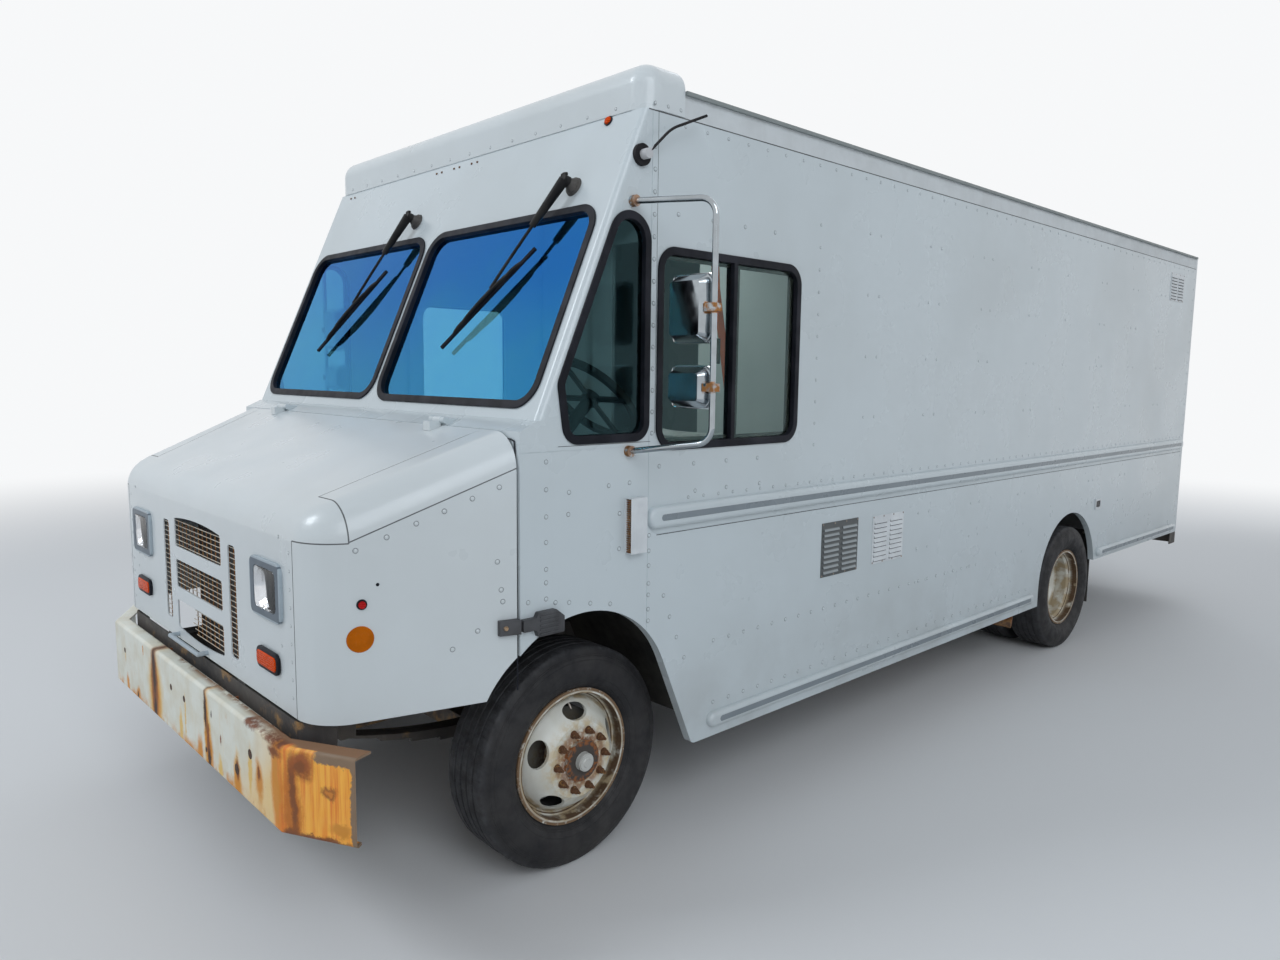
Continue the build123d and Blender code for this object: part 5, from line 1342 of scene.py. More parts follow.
slide_frame = bmesh.new()
slider_y = behind(0.695)
for y, width in (
    (slider_y - 0.385, 0.02), (slider_y + 0.012, 0.02), (slider_y + 0.04, 0.02),
    (slider_y + 0.385, 0.02)
):
    block(slide_frame, (1.158, y - width / 2, 1.607), (1.172, y + width / 2, 2.287), 0.002)
for z in (1.607, 2.287):
    block(slide_frame, (1.158, slider_y - 0.39, z - 0.01), (1.172, slider_y + 0.39, z + 0.01), 0.002)
block(slide_frame, (1.15, slider_y - 0.075, 1.9), (1.16, slider_y - 0.045, 2.0), 0.003)
made_piece("Slider_frame", slide_frame, black_trim, "truck")

# Side door: a sandwich panel that slides inside the wall on a track, with a seal round its
# window and a lever in its pull cup.
dress("side_door", body_paint, bevel=0.003)
door_low = Vector(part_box("side_door")[0])
pane_low, pane_high = (Vector(corner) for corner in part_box("side_door_glass"))


def window_seal(name, low, high, flat, place, radius, corner, body, material=seal_rubber):
    """A round lip along the edge of a pane that is flat along an axis."""
    others = [axis for axis in range(3) if axis != flat]
    lows, highs = [low[axis] for axis in others], [high[axis] for axis in others]
    run = []
    for at_high, turn in (((0, 0), 1), ((1, 0), 0), ((1, 1), 1), ((0, 1), 0)):
        ends = [highs[index] if at_high[index] else lows[index] for index in (0, 1)]
        pull = [-corner if at_high[index] else corner for index in (0, 1)]
        first = (ends[0], ends[1] + pull[1]) if turn else (ends[0] + pull[0], ends[1])
        last = (ends[0] + pull[0], ends[1]) if turn else (ends[0], ends[1] + pull[1])
        run += [first, tuple(ends), last]
    run.append(run[0])
    points = []
    for across_it, up_it in run:
        point = [0.0, 0.0, 0.0]
        point[flat], point[others[0]], point[others[1]] = place, across_it, up_it
        points.append(tuple(point))
    return rods(name, [points], radius, material, body)


window_seal("Side_door_seal", pane_low, pane_high, 0, door_low.x + 0.0065, 0.006, 0.07, "cab_door")
lever = bmesh.new()
block(lever, (door_low.x + 0.002, behind(0.615), 1.215), (door_low.x + 0.01, behind(0.665), 1.285), 0.004, 3)
made_piece("Door_lever", lever, bright_metal, "cab_door")

# Rear doors: two leaves of the same painted sheet, riveted round their edges, with rubber lips
# round the windows, guides over the latch bar, and red lamps on the frame below and above.
for name in ("rear_door_left", "rear_door_right"):
    dress(name, body_paint, bevel=0.003)
leaf_back_y = body_back_y + 0.002
for hand, turned in (("left", 1), ("right", -1)):
    body = f"cargo_door_{hand}"
    heads = bmesh.new()
    places = [(x, z) for x in (0.03, 1.05) for z in steps(0.86, 2.66, 16)]
    places += [(x, z) for x in steps(0.1, 0.98, 8) for z in (0.86, 2.66)]
    clear = [(x, z) for x, z in places if x < 0.9 or min(abs(z - c) for c in (1.0, 1.76, 2.52)) > 0.05]
    for x, z in clear:
        if hand == "left" or x > 0.2:
            add_rivets(heads, [(turned * x, leaf_back_y, z)], (0, 1, 0), 0.0055)
    rivet_piece(f"Door_rivets_{hand}", heads, body_paint, body)
    low, high = (Vector(corner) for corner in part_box(f"rear_glass_{hand}"))
    window_seal(f"Rear_window_seal_{hand}", low, high, 1, leaf_back_y, 0.009, 0.06, body)
guides = bmesh.new()
for z in (1.0, 1.5, 2.1, 2.55):
    block(guides, (-0.1, leaf_back_y, z - 0.02), (-0.085, leaf_back_y + 0.02, z + 0.02), 0.002)
    block(guides, (-0.055, leaf_back_y, z - 0.02), (-0.04, leaf_back_y + 0.02, z + 0.02), 0.002)
    block(guides, (-0.1, leaf_back_y + 0.0155, z - 0.02), (-0.04, leaf_back_y + 0.021, z + 0.02), 0.002)
made_piece("Latch_guides", guides, dull_steel, "cargo_door_right")

tail_rims = bmesh.new()
tail_lenses = bmesh.new()
amber_tails = bmesh.new()
for turned in (-1, 1):
    for x, lens in ((1.03, tail_lenses), (0.9, tail_lenses), (0.77, amber_tails)):
        foot = (turned * x, body_back_y - 0.001, 0.69)
        round_bar(tail_rims, foot, (turned * x, body_back_y + 0.012, 0.69), 0.056, 32, 0.054)
        round_bar(
            lens, (turned * x, body_back_y + 0.011, 0.69), (turned * x, body_back_y + 0.02, 0.69),
            0.048, 32
        )
        round_bar(
            lens, (turned * x, body_back_y + 0.0195, 0.69), (turned * x, body_back_y + 0.027, 0.69),
            0.048, 32, 0.03
        )
for x in (-1.08, -0.16, 0.0, 0.16, 1.08):
    block(tail_rims, (x - 0.04, body_back_y - 0.001, 2.785), (x + 0.04, body_back_y + 0.006, 2.82), 0.003)
    block(
        tail_lenses, (x - 0.033, body_back_y + 0.005, 2.79),
        (x + 0.033, body_back_y + 0.014, 2.815), 0.005, 3
    )
made_piece("Tail_lamp_rims", tail_rims, seal_rubber, "truck")
made_piece("Tail_lenses", tail_lenses, red_lens, "truck")
made_piece("Amber_tail_lenses", amber_tails, amber_lens, "truck")
frame_heads = bmesh.new()
for turned in (-1, 1):
    for z in steps(0.62, 2.72, 22):
        if min(abs(z - c) for c in (1.0, 1.76, 2.52)) > 0.08:
            add_rivets(frame_heads, [(turned * 1.165, body_back_y, z)], (0, 1, 0), 0.0055)
for x in steps(-1.1, 1.1, 20):
    for z in (0.585, 0.8, 2.765):
        add_rivets(frame_heads, [(x, body_back_y, z)], (0, 1, 0), 0.0055)
rivet_piece("Frame_rivets", frame_heads, body_paint, "truck")

# Hood: a one-piece moulded shell with a white skin coat, riveted to its inner frame, hinged at
# the windshield and held down at each side by a rubber latch on the body.
dress("hood", shell_coat, bevel=0.002)
hood_front_y = behind(-0.978)
hood_back_y = cowl_y - 0.006
hood_slant = 0.26795
hood_out = Vector((1, -hood_slant, 0)).normalized()

# Dirt lies in the joints between its moulded panels
shell_tree = shell_coat.node_tree
shell_x = reckon(shell_tree, "ABSOLUTE", along(shell_tree, "X"))
shell_y, shell_z = along(shell_tree, "Y"), along(shell_tree, "Z")
nose_y = behind(-0.867)
past_nose = reckon(shell_tree, "SUBTRACT", shell_y, nose_y)
ahead_of_nose = ramp(shell_tree, past_nose, 0.0, 0.001, 1.0, 0.0)
over_roll = ramp(shell_tree, shell_z, 1.3405, 1.3415)
falling_z = reckon(shell_tree, "SUBTRACT", shell_z, times(shell_tree, past_nose, 0.3939))
spreading_x = reckon(shell_tree, "SUBTRACT", shell_x, times(shell_tree, past_nose, hood_slant))
joints = 0.0
for value, middle, *limits in (
    (shell_z, 1.341, ramp(shell_tree, shell_x, 0.892, 0.8925), ahead_of_nose),
    (shell_x, 0.8915, ramp(shell_tree, over_roll, 0, 1, 1.0, 0.0), ahead_of_nose),
    (shell_y, nose_y, ramp(shell_tree, shell_x, 0.839, 0.84), over_roll),
    (falling_z, 1.3445, ramp(shell_tree, shell_x, 0.839, 0.84), ramp(shell_tree, past_nose, 0.0, 0.001)),
    (spreading_x, 0.8415, over_roll, ramp(shell_tree, past_nose, 0.0, 0.001)),
):
    joint = near(shell_tree, value, middle, 0.0017, 0.0008)
    for limit in limits:
        joint = times(shell_tree, joint, limit)
    joints = plus(shell_tree, joints, joint)
on_hood = ramp(shell_tree, shell_z, 1.64, 1.66, 1.0, 0.0)
lay_over(shell_coat, times(shell_tree, joints, times(shell_tree, on_hood, 0.85)), (0.06, 0.065, 0.07), 0.3)


def hood_side_x(station):
    """Half the hood's width at a station."""
    return body_half - 0.009 - (hood_back_y - behind(station)) * hood_slant


hood_heads = bmesh.new()
side_places = [(-0.849, 1.33), (-0.759, 1.364), (-0.671, 1.4), (-0.585, 1.433), (-0.497, 1.468), (-0.41, 1.5)]
side_places = [(y, z - 0.012) for y, z in side_places]
side_places += [(-0.418, 1.244), (-0.406, 1.15), (-0.401, 1.11), (-0.484, 1.022), (-0.565, 0.972)]
for turned in (-1, 1):
    outward = (turned * hood_out.x, hood_out.y, 0)
    for station, z in side_places:
        add_rivets(hood_heads, [(turned * hood_side_x(station), behind(station), z)], outward, 0.0075)
    for z in steps(0.84, 1.3, 9):
        add_rivets(hood_heads, [(turned * 0.866, hood_front_y, z)], (0, -1, 0), 0.0045)
    for z in (0.99, 1.34):
        add_rivets(hood_heads, [(turned * 0.79, hood_front_y, z)], (0, -1, 0), 0.0045)
rivet_piece("Hood_rivets", hood_heads, shell_coat, "hood")

# Each side carries a small red marker lamp and, below it, a round amber reflector stuck on.
reflector = lens_finish("Amber reflector", (0.62, 0.15, 0.004), 160, "DIAGONAL")
side_marks = bmesh.new()
red_marks = bmesh.new()
mark_bases = bmesh.new()
for turned in (-1, 1):
    outward = Vector((turned * hood_out.x, hood_out.y, 0))
    for station, z, shape, radius, deep in (
        (-0.841, 1.043, side_marks, 0.042, 0.004),
        (-0.835, 1.151, mark_bases, 0.0165, 0.006),
        (-0.835, 1.151, red_marks, 0.012, 0.01),
        (-0.788, 1.208, mark_bases, 0.0055, 0.001),
    ):
        foot = Vector((turned * hood_side_x(station), behind(station), z))
        round_bar(shape, foot - outward * 0.001, foot + outward * deep, radius, 32, radius * 0.93)
made_piece("Side_reflectors", side_marks, reflector, "hood")
made_piece("Side_markers", red_marks, red_lens, "hood")
made_piece("Marker_grommets", mark_bases, seal_rubber, "hood")

latch_rubber = finish(
    "Latch rubber",
    (0.035, 0.036, 0.04),
    (0.07, 0.072, 0.078),
    roughness=(0.45, 0.65),
    dirt=0.3,
    grain=0.3,
)
for name in ("hood_latches", "latch_straps"):
    dress(name, latch_rubber, bevel=0.004)
latch_screws = bmesh.new()
latch_ribs = bmesh.new()
for turned in (-1, 1):
    outward = Vector((turned * hood_out.x, hood_out.y, 0))
    foot = Vector((turned * (hood_side_x(-0.402) + 0.02), behind(-0.402), 1.023))
    round_bar(latch_screws, foot, foot + outward * 0.006, 0.009, 12, 0.006)
    for z in (0.985, 1.0, 1.015, 1.03, 1.044):
        low, high = sorted((turned * 1.2095, turned * 1.213))
        block(latch_ribs, (low, behind(-0.28), z - 0.003), (high, behind(-0.2), z + 0.003), 0.001)
made_piece("Latch_screws", latch_screws, dull_steel, "hood")
made_piece("Latch_ribs", latch_ribs, latch_rubber, "truck")

# Grille: a welded mesh of thin wire behind the openings. Its plating is left on the cross wires;
# the upright ones are brown with rust, and the lower right corner has been torn away.
mesh_y = hood_front_y + 0.0075
wire_low, wire_high = (Vector(corner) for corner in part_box("grille"))
rusty_wire = finish(
    "Rusty wire",
    (0.3, 0.13, 0.05),
    (0.16, 0.08, 0.04),
    roughness=(0.6, 0.8),
    metal=0.3,
    rust=0.36,
    rust_scale=40,
)
plated_wire = finish(
    "Plated wire",
    (0.62, 0.58, 0.5),
    (0.42, 0.36, 0.28),
    roughness=(0.35, 0.5),
    metal=0.6,
    rust=0.24,
    rust_scale=30,
)
torn_xs = (-0.27, -0.075)
torn_z = 0.935
cross_wires = bmesh.new()
for z in steps(wire_low.z + 0.003, wire_high.z - 0.003, 23):
    runs = [(wire_low.x, wire_high.x)]
    if z < torn_z:
        runs = [(wire_low.x, torn_xs[0]), (torn_xs[1] + 0.02 * sin(z * 400), wire_high.x)]
    for first, last in runs:
        round_bar(cross_wires, (first, mesh_y - 0.0012, z), (last, mesh_y - 0.0012, z), 0.0016, 6)
grille = made_piece("Cross_wires", cross_wires, plated_wire, "hood")
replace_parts(grille, "grille")
upright_wires = bmesh.new()
for x in steps(wire_low.x + 0.003, wire_high.x - 0.003, 19):
    foot = torn_z if torn_xs[0] < x < torn_xs[1] else wire_low.z
    round_bar(upright_wires, (x, mesh_y + 0.0014, foot), (x, mesh_y + 0.0014, wire_high.z), 0.0018, 6)
grille = made_piece("Upright_wires", upright_wires, rusty_wire, "hood")
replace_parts(grille, "grille")

# Lamps: each headlamp is a clear lens over a plated bowl with its bulb, in a grey moulded bezel;
# below it an amber signal lens sits in a black rubber grommet.
bezel_grey = finish(
    "Bezel",
    (0.12, 0.15, 0.18),
    (0.095, 0.12, 0.15),
    roughness=(0.3, 0.42),
    shine=0.25,
    dirt=0.15,
    mottle_scale=9,
)
bezel_tree = bezel_grey.node_tree


bar_mask = ramp(bezel_tree, along(bezel_tree, "Z"), 0.84, 0.86, 1.0, 0.0)
lay_over(bezel_grey, bar_mask, (0.66, 0.66, 0.65))
lamp_x, lamp_z, signal_z = 0.688, 1.156, 0.92
off_x = reckon(bezel_tree, "ABSOLUTE", reckon(bezel_tree, "SUBTRACT", out_x_of(bezel_tree), lamp_x))
off_z = reckon(bezel_tree, "ABSOLUTE", reckon(bezel_tree, "SUBTRACT", along(bezel_tree, "Z"), lamp_z))
# Painted highlight: the bezels' outer rims are lighter, broken up by noise.
rim_highlight_mask = plus(bezel_tree, ramp(bezel_tree, off_x, 0.115, 0.117), ramp(bezel_tree, off_z, 0.089, 0.091))
rim_highlight_mask = times(bezel_tree, rim_highlight_mask, ramp(bezel_tree, noise(bezel_tree, 18, 5), 0.2, 0.5, 0.5, 1.0))
lay_over(bezel_grey, rim_highlight_mask, (0.36, 0.42, 0.46))
dress("hood_trim", bezel_grey, bevel=0.0015)
lamp_half_w, lamp_half_h = 0.0886, 0.0686
reflector_metal = finish(
    "Lamp bowl", (0.82, 0.82, 0.83), (0.7, 0.7, 0.71), roughness=(0.08, 0.16), metal=1.0, grain=0.0
)
lens_glass = pane_glass("Lens glass", (0.96, 0.97, 0.98))
lens_tree = lens_glass.node_tree
flutes = node_of(lens_tree, "ShaderNodeTexWave", [("Scale", 9)], bands_direction="X")
wire(lens_tree, place_on_object(lens_tree), flutes.inputs["Vector"])
flute_bump = node_of(lens_tree, "ShaderNodeBump", [("Distance", 0.002), ("Strength", 0.12)])
wire(lens_tree, flutes.outputs["Fac"], flute_bump.inputs["Height"])
wire(lens_tree, flute_bump.outputs["Normal"], lens_tree.nodes["Principled BSDF"].inputs["Normal"])


def rounded_plate(shape, low, high, flat, corner, edge):
    """A plate that is flat along an axis, with round corners and softened faces."""
    size = Vector(high) - Vector(low)
    middle = (Vector(high) + Vector(low)) / 2
    made = bmesh.ops.create_cube(
        shape, size=1, matrix=Matrix.Translation(middle) @ Matrix.Diagonal((*size, 1))
    )
    own = {edge_ for vert in made["verts"] for edge_ in vert.link_edges}
    uprights = [e for e in own if abs((e.verts[0].co - e.verts[1].co)[flat]) > size[flat] * 0.9]
    rounded = bmesh.ops.bevel(
        shape, geom=uprights, offset=corner, segments=8, affect="EDGES", profile=0.5, material=-1
    )
    if edge:
        faces = {face for vert in rounded["verts"] for face in vert.link_faces}
        ends = [face for face in faces if len(face.verts) > 4]
        rims = list({e for face in ends for e in face.edges})
        bmesh.ops.bevel(shape, geom=rims, offset=edge, segments=3, affect="EDGES", profile=0.5, material=-1)


bowls = bmesh.new()
lenses = bmesh.new()
bulbs = bmesh.new()
signals = bmesh.new()
grommets = bmesh.new()
for turned in (-1, 1):
    x = turned * lamp_x
    bowl = bmesh.ops.create_grid(
        bowls,
        x_segments=20,
        y_segments=16,
        size=1,
        matrix=Matrix.Translation((x, hood_front_y, lamp_z)) @ Matrix.Rotation(pi / 2, 4, "X"),
    )
    for vert in bowl["verts"]:
        across_it, up_it = vert.co.x - x, vert.co.z - lamp_z
        reach = min(1.0, sqrt(across_it**2 + up_it**2) ** 2)
        vert.co.x = x + across_it * (lamp_half_w - 0.002)
        vert.co.z = lamp_z + up_it * (lamp_half_h - 0.002)
        vert.co.y = hood_front_y + 0.034 - 0.041 * reach
    rounded_plate(
        lenses,
        (x - lamp_half_w, hood_front_y - 0.0115, lamp_z - lamp_half_h),
        (x + lamp_half_w, hood_front_y - 0.0085, lamp_z + lamp_half_h),
        1,
        0.0235,
        0.0008,
    )
    round_bar(bulbs, (x, hood_front_y + 0.037, lamp_z), (x, hood_front_y + 0.02, lamp_z), 0.012, 20, 0.011)
    round_bar(bulbs, (x, hood_front_y + 0.02, lamp_z), (x, hood_front_y + 0.006, lamp_z), 0.007, 16, 0.004)
    rounded_plate(
        grommets,
        (x - 0.089, hood_front_y - 0.012, signal_z - 0.036),
        (x + 0.089, hood_front_y + 0.0005, signal_z + 0.036),
        1,
        0.026,
        0.004,
    )
    rounded_plate(
        signals,
        (x - 0.0765, hood_front_y - 0.016, signal_z - 0.0235),
        (x + 0.0765, hood_front_y + 0.005, signal_z + 0.0235),
        1,
        0.014,
        0.003,
    )
for name, shape, material, slot in (
    ("Lamp_bowls", bowls, reflector_metal, "bright_metal"),
    ("Lamp_lenses", lenses, lens_glass, "lamp_glass"),
    ("Lamp_bulbs", bulbs, plated_wire, "bright_metal"),
    ("Signal_grommets", grommets, seal_rubber, "seal_rubber"),
    ("Signal_lenses", signals, amber_lens, "lamp_glass"),
):
    piece = made_piece(name, shape, material, "hood", turn_out=name != "Lamp_bowls")
    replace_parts(piece, "front_lamps")

# Bumper: a deep pressed channel of thick steel, painted white over its rust. The paint has
# blown off in streaks under every bolt hole, along the top edge, and over the whole left end.
bumper_paint = finish(
    "Worn bumper paint",
    (0.76, 0.77, 0.69),
    (0.68, 0.65, 0.53),
    roughness=(0.32, 0.5),
    coat=0.1,
    rust=0.15,
    rust_scale=8,
    dirt=0.15,
    dirt_colour=(0.3, 0.24, 0.16),
    grain=0.25,
    grain_scale=160,
    mottle_scale=9,
)
bumper_tree = bumper_paint.node_tree
bumper_x = along(bumper_tree, "X")
bumper_z = along(bumper_tree, "Z")
bumper_y = behind(-1.055)
wander = reckon(bumper_tree, "SUBTRACT", noise(bumper_tree, 9, 8, (1, 1, 0.8), 0.75), 0.5)
drift = reckon(bumper_tree, "SUBTRACT", noise(bumper_tree, 13, 8, (0.8, 1, 1), 0.75), 0.5)
ragged_x = reckon(bumper_tree, "ADD", bumper_x, times(bumper_tree, wander, 0.075))
ragged_z = reckon(bumper_tree, "ADD", bumper_z, times(bumper_tree, drift, 0.09))
fine_runs = noise(bumper_tree, 9, 7, (7, 1, 0.22), 0.7)
yellow_stain, orange_stain, brown_rust, black_rust = (
    (0.74, 0.5, 0.16),
    (0.62, 0.25, 0.03),
    (0.22, 0.07, 0.02),
    (0.045, 0.022, 0.014),
)


def blot(x, z, half_x, half_z, soft=0.45):
    """1 inside a ragged oval on the bumper's face, falling to 0 round it."""
    across_it = times(bumper_tree, reckon(bumper_tree, "SUBTRACT", ragged_x, x), 1 / half_x)
    up_it = times(bumper_tree, reckon(bumper_tree, "SUBTRACT", ragged_z, z), 1 / half_z)
    squares = reckon(
        bumper_tree, "ADD", times(bumper_tree, across_it, across_it), times(bumper_tree, up_it, up_it)
    )
    return ramp(bumper_tree, reckon(bumper_tree, "SQRT", squares), 1 - soft, 1 + soft, 1.0, 0.0)


def both(first, second):
    """Where two of the bumper's masks meet."""
    return times(bumper_tree, first, second)


low_down = ramp(bumper_tree, bumper_z, 0.44, 0.7, 1.0, 0.25)
wash = ramp(bumper_tree, reckon(bumper_tree, "ADD", ragged_x, times(bumper_tree, low_down, 0.3)), 0.74, 1.06)
lay_over(bumper_paint, times(bumper_tree, wash, 0.85), (0.82, 0.55, 0.2))
lay_over(bumper_paint, both(ramp(bumper_tree, fine_runs, 0.55, 0.75), low_down), yellow_stain)
lay_over(bumper_paint, both(both(ramp(bumper_tree, fine_runs, 0.6, 0.78), low_down), wash), orange_stain, 0.1)
rust_along_foot = both(
    ramp(bumper_tree, ragged_z, 0.455, 0.5, 1.0, 0.0),
    ramp(bumper_tree, noise(bumper_tree, 7, 7, rough=0.7), 0.4, 0.62)
)
lay_over(bumper_paint, rust_along_foot, orange_stain, 0.3)
speckle = ramp(bumper_tree, noise(bumper_tree, 60, 6, (1, 1, 0.4), 0.7), 0.66, 0.72)
lay_over(bumper_paint, both(speckle, plus(bumper_tree, wash, 0.35)), brown_rust, 0.3)
left_end = ramp(bumper_tree, ragged_x, 0.86, 0.9)
burnt = reckon(bumper_tree, "ADD", fine_runs, ramp(bumper_tree, bumper_x, 0.9, 1.02, 0.14, 0.0))
fire = blend_colour(
    bumper_tree, ramp(bumper_tree, burnt, 0.42, 0.66), (0.95, 0.45, 0.05), (0.76, 0.18, 0.008)
)
lay_over(bumper_paint, times(bumper_tree, left_end, 0.97), fire, 0.15)

# Each stain as x, z, half its width and half its height, with a colour
for x, z, half_x, half_z, colour in (
    (-0.34, 0.54, 0.085, 0.16, yellow_stain),
    (-0.342, 0.53, 0.06, 0.15, orange_stain),
    (-0.35, 0.58, 0.038, 0.18, brown_rust),
    (-0.35, 0.63, 0.018, 0.1, black_rust),
    (-0.35, 0.48, 0.014, 0.04, black_rust),
    (-0.6, 0.47, 0.03, 0.03, orange_stain),
    (-0.61, 0.465, 0.01, 0.02, black_rust),
    (-0.75, 0.475, 0.02, 0.035, orange_stain),
    (-0.5, 0.69, 0.006, 0.02, orange_stain),
    (-0.78, 0.6, 0.004, 0.03, yellow_stain),
    (0.034, 0.55, 0.006, 0.08, yellow_stain),
    (0.28, 0.56, 0.035, 0.15, yellow_stain),
    (0.272, 0.6, 0.022, 0.13, orange_stain),
    (0.292, 0.51, 0.034, 0.09, orange_stain),
    (0.262, 0.655, 0.016, 0.075, black_rust),
    (0.285, 0.54, 0.014, 0.09, brown_rust),
    (0.292, 0.475, 0.017, 0.04, black_rust),
    (0.2, 0.47, 0.03, 0.06, orange_stain),
    (-0.02, 0.5, 0.02, 0.07, yellow_stain),
    (0.4, 0.47, 0.02, 0.05, yellow_stain),
    (0.335, 0.65, 0.006, 0.018, black_rust),
    (0.42, 0.59, 0.006, 0.02, brown_rust),
    (0.572, 0.5, 0.034, 0.09, yellow_stain),
    (0.572, 0.49, 0.034, 0.08, orange_stain),
    (0.578, 0.535, 0.02, 0.04, brown_rust),
    (0.69, 0.56, 0.014, 0.08, yellow_stain),
    (0.765, 0.56, 0.03, 0.07, orange_stain),
    (0.765, 0.58, 0.014, 0.03, brown_rust),
    (0.9, 0.6, 0.03, 0.13, orange_stain),
    (0.965, 0.53, 0.03, 0.14, (0.5, 0.15, 0.012)),
    (0.97, 0.58, 0.011, 0.13, brown_rust),
    (0.89, 0.695, 0.04, 0.02, brown_rust),
    (1.0, 0.675, 0.036, 0.045, (0.33, 0.09, 0.02)),
    (0.995, 0.66, 0.02, 0.025, brown_rust),
    (1.085, 0.6, 0.02, 0.02, brown_rust),
    (1.085, 0.6, 0.012, 0.012, (0.6, 0.22, 0.04)),
    (1.12, 0.49, 0.03, 0.02, orange_stain),
    (0.955, 0.455, 0.03, 0.018, brown_rust),
    (1.06, 0.45, 0.09, 0.012, brown_rust),
):
    lay_over(bumper_paint, blot(x, z, half_x, half_z), colour, 0.25)
top_rust = both(near(bumper_tree, ragged_x, 0.79, 0.135, 0.02), ramp(bumper_tree, ragged_z, 0.708, 0.73))
lay_over(bumper_paint, top_rust, (0.16, 0.05, 0.018), 0.3)
bare_steel = plus(
    bumper_tree,
    both(ramp(bumper_tree, ragged_x, 1.03, 1.045), ramp(bumper_tree, ragged_z, 0.692, 0.698)),
    ramp(bumper_tree, ragged_x, 1.148, 1.153),
)
lay_over(bumper_paint, bare_steel, (0.23, 0.155, 0.1), 0.35)
flange_rust = both(
    ramp(bumper_tree, bumper_z, 0.7255, 0.7268),
    both(
        ramp(bumper_tree, along(bumper_tree, "Y"), bumper_y + 0.02, bumper_y + 0.05),
        ramp(
            bumper_tree, reckon(bumper_tree, "ADD", wander, times(bumper_tree, bumper_x, 0.25)),
            -0.02, 0.08
        ),
    ),
)
lay_over(bumper_paint, flange_rust, (0.24, 0.13, 0.07), 0.35)
inside = ramp(bumper_tree, along(bumper_tree, "Y"), bumper_y + 0.0075, bumper_y + 0.0085)
flat_part = near(bumper_tree, bumper_x, 0.0, 0.91, 0.01)
lay_over(
    bumper_paint, both(both(inside, flat_part), ramp(bumper_tree, bumper_z, 0.72, 0.724, 1.0, 0.0)),
    brown_rust, 0.3
)
dress("front_bumper", bumper_paint, bevel=0.0015)

# Dark discs for the bolt holes: painted shade in the openings, with rust.
bolt_holes = bmesh.new()
for x, z, radius in (
    (-0.783, 0.62, 0.012),
    (-0.128, 0.627, 0.013),
    (0.029, 0.623, 0.013),
    (0.693, 0.624, 0.017),
    (0.566, 0.53, 0.019),
    (0.262, 0.5, 0.01),
):
    round_bar(bolt_holes, (x, bumper_y - 0.0002, z), (x, bumper_y + 0.004, z), radius, 14, radius * 0.8)
hole_shade_and_rust = finish(
    "Painted shade and rust in the holes",
    (0.035, 0.02, 0.014),
    (0.09, 0.04, 0.02),
    roughness=(0.8, 0.95),
    grain=0.5,
    mottle_scale=70,
)
made_piece("Bumper_holes", bolt_holes, hole_shade_and_rust, "truck")

# Rear step: a channel of black plate with a grip strip of pressed diamonds along its top.
_, step_high = (Vector(corner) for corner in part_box("rear_step"))
grip = bmesh.new()
for number, x in enumerate(steps(-1.11, 1.11, 56)):
    for row in range(2):
        y = body_back_y + 0.035 + 0.05 * row + (0.02 if number % 2 else 0.0)
        turn = Matrix.Translation((x, y, step_high.z - 0.0005)) @ Matrix.Rotation(
            radians(45 if (number + row) % 2 else -45), 4, "Z"
        )
        bmesh.ops.create_cone(
            grip,
            cap_ends=True,
            segments=8,
            radius1=0.011,
            radius2=0.008,
            depth=0.003,
            matrix=turn @ Matrix.Diagonal((1.5, 0.45, 1, 1)),
        )
made_piece("Step_grip", grip, chassis_paint, "truck")

# Side vents: plates of pressed louvres. The front one is bare dark alloy, with a painted highlight on the
# outer half of each blade; the others are painted with the side; the scoop ahead of them has a wire screen in
# its mouth.
vent_paint = white_paint(
    "Vent paint", (0.68, 0.71, 0.73), (0.6, 0.63, 0.65), roughness=(0.3, 0.45), dirt=0.5, mottle_scale=12
)
vent_tree = vent_paint.node_tree
dark_vent = near(vent_tree, along(vent_tree, "Y"), behind(1.492), 0.15, 0.002)
dark_zone = times(vent_tree, dark_vent, ramp(vent_tree, along(vent_tree, "Z"), 1.25, 1.26, 1.0, 0.0))
# Painted highlight: on the front vent, the louvre blades are lighter where they stand out from the plate.
lit_blade_highlight = ramp(vent_tree, along(vent_tree, "X"), body_half + 0.0035, body_half + 0.0065)
lay_over(
    vent_paint, dark_zone, blend_colour(vent_tree, lit_blade_highlight, (0.075, 0.083, 0.085), (0.3, 0.33, 0.34)), 0.1
)
dress("side_vents", vent_paint, bevel=0.0008)
vent_screws = bmesh.new()
vent_slot_shade = bmesh.new()
for station, z, width, tall, rows in (
    (1.492, 1.058, 0.296, 0.254, 9),
    (1.913, 1.056, 0.288, 0.242, 9),
    (6.12, 2.598, 0.324, 0.218, 8),
):
    # Dark boxes below each louvre blade: painted shade in its opening.
    for row in range(rows):
        foot = z - tall / 2 + 0.015 + row * (tall - 0.03) / rows
        for column in (-1, 1):
            y = behind(station) + column * width / 4
            low = (body_half + 0.001, y - 0.2 * width, foot - 0.0045)
            block(vent_slot_shade, low, (body_half + 0.0034, y + 0.2 * width, foot + 0.0015))
    for y in steps(station - width / 2 + 0.008, station + width / 2 - 0.008, 4):
        for reach in (-1, 1):
            add_rivets(vent_screws, [(1.193, behind(y), z + reach * (tall / 2 - 0.007))], (1, 0, 0), 0.004)
made_piece("Vent_screws", vent_screws, dull_steel, "truck")
made_piece("Vent_slot_shade", vent_slot_shade, seam_dirt_and_shade, "truck")
scoop_screen = bmesh.new()
for z in steps(1.213, 1.403, 24):
    round_bar(scoop_screen, (1.194, behind(0.124), z), (1.22, behind(0.124), z), 0.0012, 6)
